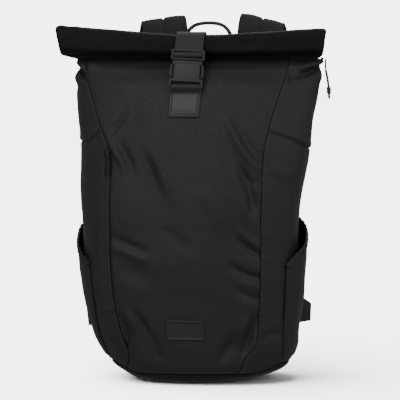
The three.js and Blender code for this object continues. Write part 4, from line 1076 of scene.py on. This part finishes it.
def behind(x, height, clear, free=0.0):
    """A place behind the back panel's face, with the direction across the back."""
    row = row_at(np.array([min(height, SEAM_HEIGHT)]))
    table = smooth(SKIN, row)[0]
    turn = turn_at(np.array([abs(x) / (table[1] if x < 0 else table[2])]), row, x < 0, True)
    away = outwards(turn, row)[0]
    place = skin(turn, row)[0] + away * BACK_PAD
    away = unit(away + (np.array([0.0, 1.0, 0.0]) - away) * free)
    place = place + away * clear
    across = unit(skin(turn - 0.02, row)[0] - skin(turn + 0.02, row)[0])
    if height > SEAM_HEIGHT:
        place[2] = height
    return place, across


LOOP_HALF, LOOP_RISE = 32, 29.5  # half the arch's width, and its rise above the feet
arch_base = 454.0
arch_y = behind(BACK_SHIFT, SEAM_HEIGHT, 6, 1.0)[0][1]


def haul_foot(side):
    clear = 0.7 + (WEB_THICK + 0.35 if side < 0 else 0) + 2
    x = BACK_SHIFT + side * 22
    low = behind(x, SEAM_HEIGHT - 20, clear)[0]
    high = behind(x, SEAM_HEIGHT, clear)[0]
    end = np.array([BACK_SHIFT + side * LOOP_HALF, arch_y, arch_base])
    places = [(low, 0.0), (high, 0.1)]
    for share, rise, twist in ((0.4, 0.45, 0.7), (0.85, 0.8, 1.35)):
        place = high + (end - high) * share
        place[2] = high[2] + (arch_base - high[2]) * rise
        places.append((place, twist))
    return [(p, (-side * math.cos(t), math.sin(t), 0)) for p, t in places]


arch = []
for angle in np.linspace(math.pi, 0, 9):
    x = BACK_SHIFT + math.copysign(abs(math.cos(angle)) ** 0.75, math.cos(angle)) * LOOP_HALF
    height = arch_base + math.sin(angle) ** 0.85 * LOOP_RISE
    arch.append(((x, arch_y, height), (0, 1, 0)))
haul_places = haul_foot(-1) + arch + haul_foot(1)[::-1]
haul_table = even([tuple(place) + tuple(across) for place, across in haul_places], 1.5)
haul = piece(
    "haul_loop_webbing",
    flat_tube(haul_table[:, :3], haul_table[:, 3:], 22, 4.8, 3.5, 32, web_relief(151, 0.2)),
    "haul_loop", closed=True,
)
print("haul loop:", len(haul.data.polygons), "faces, arch at y", round(arch_y, 1))

# %% [markdown]
# ## Shoulder straps
# Foam between spacer mesh and cloth, bound with tape along both edges and sewn down the middle,
# which is why the pad bulges on both sides of that line. They arch up behind the roll, hang
# behind the back and narrow to the ladder locks of the lower webbing.

# %% Shoulder straps
# share of the way out, height, stand-off, width, padding, tilt in degrees
STRAP_ROUTE = [
    (0, 0.925, 0, 0.90, 0.35, 0), (0, 0.975, 0, 0.94, 0.40, 0), (0, 1.03, 0.15, 0.97, 0.55, 3),
    (0.01, 1.09, 0.5, 1, 0.8, 8), (0.03, 1.135, 1.4, 1, 1, 10), (0.06, 1.152, 2.6, 1, 1, 10),
    (0.10, 1.13, 3.8, 1, 1, 9), (0.14, 1.075, 4.6, 1, 1, 6), (0.19, 0.995, 4.75, 1, 1, 3),
    (0.25, 0.88, 3.2, 0.98, 1, 1), (0.33, 0.75, 2.2, 0.95, 1, 0), (0.44, 0.61, 1.7, 0.9, 1, 0),
    (0.56, 0.49, 1.4, 0.78, 0.9, 0), (0.65, 0.43, 1.25, 0.52, 0.5, 0),
]
STRAP_THICK, STRAP_WIDE = 11.0, 62.0
WING_LOW, WING_TALL, WING_TIP, WING_REACH, WING_THICK = 66.0, 58.0, 27.0, 62.0, 3.0


def wing_place(side, share, height):
    """A place of the wing that stands out between the side and the back panel."""
    share, height = np.broadcast_arrays(share, height)
    row = row_at(height)
    turn = turn_at(0.872 + 0 * row, row, side < 0, True)
    return off_skin(turn, row, 0.35 + share * WING_REACH)


def strap_places(side):
    top_x = BACK_SHIFT + side * 66
    wing_x = float(wing_place(side, 0.5, WING_LOW + WING_TALL / 2)[0])
    table = []
    for out, height, stand, width, pad, tilt in smooth(STRAP_ROUTE, np.linspace(0, 13, 19)):
        thick = pad * STRAP_THICK
        clear = 0.35 + stand * STRAP_THICK + thick / 2
        place, across = behind(top_x, height * SEAM_HEIGHT, clear, min(stand, 1))
        arch = math.exp(-(((height - 1.13) / 0.09) ** 2))
        place = place + np.array([(7.5 if side < 0 else 3.0) * arch, 0, 4.5 * arch])
        place[0] += (wing_x - top_x) * out
        tilt = math.radians(tilt * (0.8 if side < 0 else 1.5))
        free = np.array([math.cos(tilt), 0, -side * math.sin(tilt)])
        across = unit(across + (free - across) * min(stand, 1))
        table.append((*place, *across, width * STRAP_WIDE, thick))
    return np.array(table)


def pad_relief(seed, thick):
    """The stitched middle, the bound edges and the soft unevenness of a shoulder pad."""
    def relief(count, side, tall):
        along = 2.2 * np.arange(count)[:, None]
        s = side[None]
        quilt = -0.22 * bell(s, 0.035) + 0.06 * bell(np.abs(s) - 0.45, 0.25)
        binding = 0.1 * bell(np.abs(s) - 0.93, 0.035) - 0.1 * bell(np.abs(s) - 0.85, 0.02)
        waves = 0.035 * wander(along, 30 * s, 34, seed) * (np.abs(s) < 0.85)
        face = np.where(tall[None] == 0, 0, np.sign(tall[None]))
        return (quilt + binding + waves) * face * thick[:, None]
    return relief


pads = {}
for side_name, side in (("left", -1), ("right", 1)):
    table = even(strap_places(side), 2.2)
    bm = flat_tube(table[:, :3], table[:, 3:6], table[:, 6], table[:, 7], 3.2, 72,
                   pad_relief(161 + side, table[:, 7]))
    pad = piece(
        f"shoulder_pad_{side_name}", bm, f"shoulder_strap_{side_name}", closed=True
    )
    pads[side] = table
print("shoulder straps:", [len(t) for t in pads.values()], "places along them")

# %% [markdown]
# ## Lower straps
# A wing of doubled cloth stands out from each side seam. Narrow webbing runs up from it to the
# ladder lock at the pad's foot, where the wearer pulls the strap short.

# %% Wings, lower webbing and ladder locks
for side_name, side in (("left", -1), ("right", 1)):
    middle = WING_LOW + WING_TIP / 2
    out = wing_place(side, 1.0, middle) - wing_place(side, 0.0, middle)
    out = unit(np.array([out[0], out[1], 0.0]))
    face = np.cross(out, (0, 0, 1))
    share = np.linspace(0, 1, 34)[None, :]
    up = np.linspace(0, 1, 40)[:, None]
    height = WING_LOW + up * (WING_TALL + (WING_TIP - WING_TALL) * share)
    places = wing_place(side, share, height)
    edge = np.minimum(np.minimum(up, 1 - up) * (WING_TALL - 20), (1 - share) * WING_REACH)
    bulge = 0.5 * bell(edge - 4, 2.5) - 0.5 * bell(edge - 2, 0.7)
    places = places + face * (WING_THICK / 2 + bulge * 0.6)[..., None] * -side
    wing = piece(f"wing_{side_name}", grid(places[:, ::-side], np.exp(-edge / 3)[:, ::-side]),
                 f"strap_wing_{side_name}")
    thicken(wing, 2.8)

    pad_end, pad_before = pads[side][-1, :3], pads[side][-4, :3]
    run = unit(pad_end - pad_before)
    lock_foot = pad_end + run * 0.35
    across = unit(np.array([1.0, 0, 0]) - run * run[0])
    away = np.cross(across, run)
    lock = bmesh.new()
    ladder_lock(lock, 33, 0, frame_matrix(lock_foot, across, run, away))
    piece(
        f"strap_ladder_{side_name}", lock, f"strap_adjuster_{side_name}", closed=True
    )

    back_of_wing = face * -side
    off = WING_THICK / 2 + 0.7 + WEB_THICK / 2
    table = []
    for rise in (0.1, 0.5, 0.9):
        place = wing_place(side, 0.64, WING_LOW + rise * WING_TIP) + back_of_wing * off
        table.append((*place, *(out * side)))
    for up_lock, away_lock in THREADED:
        table.append((*(lock_foot + run * up_lock + away * away_lock), *across))
    web = even(table, 1.3)
    piece(f"lower_webbing_{side_name}",
          flat_tube(web[:, :3], web[:, 3:], 25, WEB_THICK, 7, 32, web_relief(171 + side)),
          f"strap_webbing_{side_name}", closed=True)
print("lower straps made on both sides")

# %% [markdown]
# ## Stitching
# Bonded polyester thread, sewn at about seven stitches in 25 mm. Each stitch is a short grain of
# thread half sunk in the cloth. Rows run along the front seams, the base seam, the patch, the zip
# flap and down the middle of each shoulder pad.

# %% Rows of stitches
def stitches(bm, path, normals, pitch=3.4, length=2.5, radius=0.42):
    """Adds a row of stitches along a path that lies on cloth with those normals."""
    table = even(np.concatenate([path, normals], axis=1), pitch)
    for here, there in zip(table[:-1], table[1:]):
        centre = (here[:3] + there[:3]) / 2
        along = unit(there[:3] - here[:3])
        up = unit(here[3:] - along * (here[3:] @ along))
        turn = Matrix((np.cross(along, up), along, up)).transposed().to_4x4()
        shape = Matrix.Diagonal((radius / 1000, length / 2000, radius / 1000, 1))
        bmesh.ops.create_icosphere(
            bm, subdivisions=1, radius=1, matrix=Matrix.Translation(metres(centre)) @ turn @ shape
        )


thread = bmesh.new()
for columns in (3, -4):
    picked = slice(2, None, 6)
    path = front_points[picked, columns]
    normals = outwards(front_turn_grid[picked, columns], front_row_grid[picked, columns])
    under = path[:, 2] < 424
    stitches(thread, path[under] + normals[under] * 0.12, normals[under])
path = front_points[3, 4:-4:4]
normals = outwards(front_turn_grid[3, 4:-4:4], front_row_grid[3, 4:-4:4])
stitches(thread, path + normals * 0.12, normals)

inset = 3.6
half_w, low_z, high_z = PATCH_WIDE / 2 - inset, PATCH_LOW + inset, PATCH_LOW + PATCH_TALL - inset
outline = [(-half_w, z) for z in np.linspace(low_z, high_z, 9)]
outline += [(x, high_z) for x in np.linspace(-half_w, half_w, 10)[1:]]
outline += [(half_w, z) for z in np.linspace(high_z, low_z, 9)[1:]]
outline += [(x, low_z) for x in np.linspace(half_w, -half_w, 10)[1:]]
outline = np.array(outline)
row = row_at(outline[:, 1])
turn = front_turn(strap_x(outline[:, 1]) + outline[:, 0], row)
lift = patch_height(np.full(len(outline), inset))
stitches(thread, off_skin(turn, row, lift + 0.15), outwards(turn, row), 3.0, 2.2, 0.4)

flap_z = np.linspace(102, 317, 60)
flap_row = row_at(flap_z)
flap_turn = front_turn(seam_x(flap_z) - 12.2, flap_row)
stitches(thread, off_skin(flap_turn, flap_row, 1.35 + 0 * flap_z), outwards(flap_turn, flap_row))

for side, table in pads.items():
    on_pad = table[4:-6:5]
    along = unit(np.gradient(on_pad[:, :3], axis=0))
    face = np.cross(unit(on_pad[:, 3:6]), along)
    for direction in (1, -1):
        path = on_pad[:, :3] + face * direction * (on_pad[:, 7:8] * 0.34)
        stitches(thread, path, face * direction, 4.0, 3.0, 0.45)
thread_piece = piece("stitching", thread, closed=True)
print("stitches:", len(thread_piece.data.polygons) // 20)

# %% [markdown]
# ## Material tools
# One function adds a node and joins its inputs, and one turns a screen colour into the linear
# light that shaders work with. Patterns are laid out in millimetres of cloth, so that a weave of
# half a millimetre is that fine in the picture too.

# %% Material tools
def node(tree, kind, inputs=None, **fields):
    """Adds a shader node, sets its fields, and joins or sets its inputs."""
    made = tree.nodes.new("ShaderNode" + kind)
    for name, value in fields.items():
        setattr(made, name, value)
    for key, value in (inputs or {}).items():
        if isinstance(value, bpy.types.NodeSocket):
            tree.links.new(value, made.inputs[key])
        else:
            made.inputs[key].default_value = value
    return made


def colour(code):
    """A screen colour such as 2B2B2E as linear light."""
    parts = [int(code[i : i + 2], 16) / 255 for i in (0, 2, 4)]
    linear = [c / 12.92 if c <= 0.04045 else ((c + 0.055) / 1.055) ** 2.4 for c in parts]
    return (*linear, 1.0)


def begin(name):
    """A material with an empty tree, its output and its Principled shader."""
    made = bpy.data.materials.new(name)
    made.use_nodes = True
    tree = made.node_tree
    tree.nodes.clear()
    shader = node(tree, "BsdfPrincipled")
    node(tree, "OutputMaterial", {"Surface": shader.outputs["BSDF"]})
    return made, tree, shader


def finish_with(tree, shader, base, rough, bump=None):
    """Joins a colour, a roughness and a bumped normal to the shader."""
    tree.links.new(base, shader.inputs["Base Color"])
    tree.links.new(rough, shader.inputs["Roughness"])
    if bump is not None:
        tree.links.new(bump, shader.inputs["Normal"])


print("material tools ready; 2B2B2E is", [round(c, 4) for c in colour("2B2B2E")[:3]])

# %% [markdown]
# ## Woven cloths
# Coated nylon shows a fine square weave under a thin film: slightly glossy at a low angle, with
# small crumples that never press out and paler rubs along its seams. Right at a seam or folded
# edge its colour is mixed to near black, a painted shade for the groove there. The base has a
# coarser weave and more coating. Webbing is ribbed across with dark gaps between its cords.

# %% Cloths and webbing
def woven(name, base, pale, pitch, crumple, rough, sheen, weave_depth, crumple_depth, shine=0.5):
    """A cloth with a weave of a pitch and crumples of a size, both in millimetres of cloth."""
    made, tree, shader = begin(name)
    place = node(tree, "UVMap", uv_map="cloth").outputs["UV"]
    pace = 2 * math.pi / (20 * pitch)
    warp = node(tree, "TexWave", {"Vector": place, "Scale": pace}, bands_direction="X")
    weft = node(tree, "TexWave", {"Vector": place, "Scale": pace}, bands_direction="Y")
    weave = node(tree, "Math", {0: warp.outputs["Fac"], 1: weft.outputs["Fac"]}, operation="MULTIPLY")
    slow = node(tree, "TexNoise", {"Vector": place, "Scale": 1 / crumple, "Detail": 5.0,
                                   "Roughness": 0.55})
    patchy = node(tree, "TexNoise", {"Vector": place, "Scale": 1 / 90, "Detail": 3.0})
    # seam mask from the mesh: real wear pales the cloth near a seam, and painted shade darkens the groove
    # right at it
    wear_and_shade_mask = node(tree, "Attribute", attribute_name="wear_and_shade").outputs["Fac"]
    rubbed = node(tree, "Math", {0: wear_and_shade_mask, 1: 0.2}, operation="MULTIPLY")
    mixed = node(tree, "Math", {0: patchy.outputs["Fac"], 1: 0.25}, operation="MULTIPLY")
    amount = node(tree, "Math", {0: rubbed.outputs[0], 1: mixed.outputs[0]}, operation="ADD",
                  use_clamp=True)
    tint = node(tree, "MixRGB", {"Fac": amount.outputs[0], "Color1": colour(base),
                                 "Color2": colour(pale)})
    # painted shade: closest to a seam or folded edge the colour is mixed towards near black 080809,
    # standing in for the shade in the groove
    sewn = node(tree, "MapRange", {"Value": wear_and_shade_mask, "From Min": 0.55, "From Max": 0.95})
    painted_groove_shade = node(tree, "MixRGB", {"Fac": sewn.outputs["Result"], "Color1": tint.outputs["Color"],
                                   "Color2": colour("080809")})
    shade = node(tree, "MapRange", {"Value": slow.outputs["Fac"], "From Min": 0.3, "From Max": 0.7,
                                    "To Min": rough - 0.06, "To Max": rough + 0.08})
    folds = node(tree, "Bump", {"Height": slow.outputs["Fac"], "Distance": crumple_depth / 1000,
                                "Strength": 1.0})
    fine = node(tree, "Bump", {"Height": weave.outputs[0], "Distance": weave_depth / 1000,
                               "Strength": 0.5, "Normal": folds.outputs["Normal"]})
    finish_with(tree, shader, painted_groove_shade.outputs["Color"], shade.outputs["Result"], fine.outputs["Normal"])
    shader.inputs["IOR"].default_value = 1.5
    shader.inputs["Specular IOR Level"].default_value = shine
    shader.inputs["Sheen Weight"].default_value = sheen
    shader.inputs["Sheen Roughness"].default_value = 0.5
    return made


# charcoal with a soft gloss that runs along the folds
coated_nylon = woven(
    "coated_nylon", "1B1A1F", "29282E",
    pitch=0.6, crumple=5, rough=0.6, sheen=0.04, weave_depth=0.10, crumple_depth=0.12,
)
# the same cloth rolled up; its whole colour is set darker as painted shade, for the roll turning down
# into shadow and the neck behind it
collar_nylon_painted_shade = woven(
    "collar_nylon_painted_shade", "0D0D0F", "1D1D20",
    pitch=0.6, crumple=6, rough=0.62, sheen=0.0, weave_depth=0.10, crumple_depth=0.2, shine=0.22,
)
# a coarser, stiffer cloth with a visible grain
base_nylon = woven(
    "heavy_base_nylon", "0F0F11", "1F1F22",
    pitch=1.1, crumple=8, rough=0.58, sheen=0.0, weave_depth=0.2, crumple_depth=0.2, shine=0.3,
)
# ribbed, matt and a shade paler than the cloth
woven_webbing = woven(
    "woven_webbing", "2A2A2B", "3E3E3F",
    pitch=1.5, crumple=5, rough=0.68, sheen=0.12, weave_depth=0.35, crumple_depth=0.15,
)
# tightly woven tape over the zip
zip_tape = woven(
    "zip_tape_nylon", "1F1E22", "323136",
    pitch=0.8, crumple=6, rough=0.55, sheen=0.06, weave_depth=0.12, crumple_depth=0.35,
)

# %% [markdown]
# ## Spacer mesh, moulded parts, leather and metal
# Spacer mesh is an open knit of small holes. Acetal is smooth with a faint spark-eroded grain;
# rubber is duller. The leather has a pebbled grain, and the slider is lacquered die-cast metal.

# %% Mesh, plastics, leather, metal and thread
def grained(name, base, pale, size, depth, rough, ior=1.5, metallic=0.0, coat=0.0):
    """A moulded or grained solid, with cells of a size in millimetres."""
    made, tree, shader = begin(name)
    place = node(tree, "TexCoord").outputs["Object"]
    cells = node(tree, "TexVoronoi", {"Vector": place, "Scale": 1000 / size}, feature="SMOOTH_F1")
    cells.inputs["Smoothness"].default_value = 0.6
    cloud = node(tree, "TexNoise", {"Vector": place, "Scale": 1000 / (size * 14), "Detail": 4.0})
    tint = node(tree, "MixRGB", {"Fac": cloud.outputs["Fac"], "Color1": colour(base),
                                 "Color2": colour(pale)})
    shade = node(tree, "MapRange", {"Value": cloud.outputs["Fac"], "From Min": 0.3, "From Max": 0.7,
                                    "To Min": rough - 0.06, "To Max": rough + 0.06})
    bump = node(tree, "Bump", {"Height": cells.outputs["Distance"], "Distance": depth / 1000,
                               "Strength": 0.6})
    finish_with(tree, shader, tint.outputs["Color"], shade.outputs["Result"], bump.outputs["Normal"])
    shader.inputs["IOR"].default_value = ior
    shader.inputs["Metallic"].default_value = metallic
    shader.inputs["Coat Weight"].default_value = coat
    return made


# a knit of small dark holes with paler threads between them
spacer_mesh = grained(
    "spacer_mesh", "1A1A1C", "2E2E31", size=2.2, depth=0.9, rough=0.82,
)
# satin plastic that carries one clear highlight on each rounded edge
acetal = grained(
    "acetal_plastic", "2E2E30", "38383A", size=0.35, depth=0.03, rough=0.52, ior=1.46,
)
# pebbled grey leather, the palest part of the front
leather = grained(
    "synthetic_leather", "2F2F32", "3D3D40",
    size=0.9, depth=0.16, rough=0.5, ior=1.5, metallic=0.0, coat=0.1,
)
# dull, almost black rubber
rubber = grained(
    "moulded_rubber", "1D1D1F", "29292B", size=0.4, depth=0.03, rough=0.55, ior=1.52,
)
# soft dark rubber of the pull
pull_rubber = grained(
    "pull_rubber", "050505", "0D0C0C", size=0.4, depth=0.03, rough=0.6, ior=1.45,
)
# lacquered dark metal
gunmetal = grained(
    "gunmetal_lacquer", "08080A", "121214", size=0.3, depth=0.02, rough=0.36, ior=1.5, metallic=0.2,
)
# dark thread that sinks into the cloth
bonded_thread = grained(
    "bonded_thread", "1A1A1C", "2A2A2D", size=0.5, depth=0.08, rough=0.5, ior=1.53,
)
# a hard twisted cord
cord_sheath = grained(
    "cord_sheath", "2A2A2C", "3E3E41", size=0.8, depth=0.2, rough=0.6, ior=1.5,
)

FINISHES = {
    coated_nylon: ("front_cloth", "left_side_cloth", "right_side_cloth", "left_pocket",
                   "right_pocket", "left_pocket_binding", "right_pocket_binding", "wing_left",
                   "wing_right", "pull_tab"),
    collar_nylon_painted_shade: ("rolled_collar", "neck_back_cloth"),
    base_nylon: ("base_cloth",),
    woven_webbing: ("closure_webbing", "buckle_loop", "haul_loop_webbing", "lower_webbing_left",
                    "lower_webbing_right"),
    zip_tape: ("zip_flap", "zip_coil"),
    spacer_mesh: ("back_pad", "shoulder_pad_left", "shoulder_pad_right"),
    acetal: ("side_release_buckle", "buckle_ladder", "strap_ladder_left", "strap_ladder_right",
             "pull_bead"),
    leather: ("closure_patch_leather",),
    rubber: ("rubber_label",),
    pull_rubber: ("zip_pull_tab",),
    gunmetal: ("zip_slider_body",),
    bonded_thread: ("stitching",),
    cord_sheath: ("pull_cord",),
}
for material, names in FINISHES.items():
    for name in names:
        bpy.data.objects[name].data.materials.append(material)
bare = [o.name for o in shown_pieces() if o.type == "MESH" and not o.data.materials]
print("pieces without a material:", bare)

# %% [markdown]
# ## Floor and light
# A white sweep in a bright studio. A large soft light stands before the bag at the upper left, a
# small one at the height of its middle, a weaker one at the right and one behind, so that the
# folds show. The camera sees a bright surround that gives the bag only a little light.

# %% Floor, world and lights
floor_mesh = bmesh.new()
bmesh.ops.create_grid(floor_mesh, x_segments=1, y_segments=1, size=20)
floor_data = bpy.data.meshes.new("floor")
bmesh.ops.translate(floor_mesh, vec=(0, 0, -0.0005), verts=floor_mesh.verts)
floor_mesh.to_mesh(floor_data)
floor_mesh.free()
floor = bpy.data.objects.new("floor", floor_data)
bpy.context.scene.collection.objects.link(floor)
paper, tree, shader = begin("white_paper")
shader.inputs["Base Color"].default_value = (0.9, 0.9, 0.9, 1)
shader.inputs["Roughness"].default_value = 0.9
floor_data.materials.append(paper)

# the floor shows its own light, but throws none back up at the bag
floor.visible_diffuse = floor.visible_glossy = False

SKY_LIGHT, SKY_SEEN = 0.29, 5.5  # the surround's strength as light, and as the camera sees it
world = bpy.data.worlds.new("studio")
bpy.context.scene.world = world
world.use_nodes = True
sky = world.node_tree
background = sky.nodes["Background"]
seen = node(sky, "LightPath").outputs["Is Camera Ray"]
strength = node(sky, "MapRange", {"Value": seen, "To Min": SKY_LIGHT, "To Max": SKY_SEEN})
sky.links.new(strength.outputs["Result"], background.inputs["Strength"])
background.inputs["Color"].default_value = (1, 1, 1, 1)


def soft_light(name, place, target, size, power):
    """A square soft box that shines from a place to a target, both in metres."""
    data = bpy.data.lights.new(name, "AREA")
    data.size, data.energy = size, power
    made = bpy.data.objects.new(name, data)
    made.location = place
    made.rotation_euler = (Vector(target) - Vector(place)).to_track_quat("-Z", "Y").to_euler()
    bpy.context.scene.collection.objects.link(made)


soft_light("key", (-0.45, -1.25, 1.95), (0, 0, 0.3), 1.0, 9.5)
soft_light("front", (-0.3, -1.0, 0.42), (0, 0, 0.32), 0.4, 1.7)
soft_light("fill", (1.7, -1.2, 1.1), (0, 0, 0.3), 1.4, 10)
soft_light("rim", (0.3, 1.6, 1.8), (0, 0, 0.3), 1.2, 10)
# a broad, even light on the sweep alone keeps it white under a dark bag
wash_data = bpy.data.lights.new("floor_wash", "SUN")
wash_data.energy, wash_data.angle = 19, math.radians(70)
wash = bpy.data.objects.new("floor_wash", wash_data)
wash.rotation_euler = Vector((0.45, 0.1, -1)).to_track_quat("-Z", "Y").to_euler()
bpy.context.scene.collection.objects.link(wash)
only_floor = bpy.data.collections.new("floor_only")
only_floor.objects.link(floor)
wash.light_linking.receiver_collection = only_floor
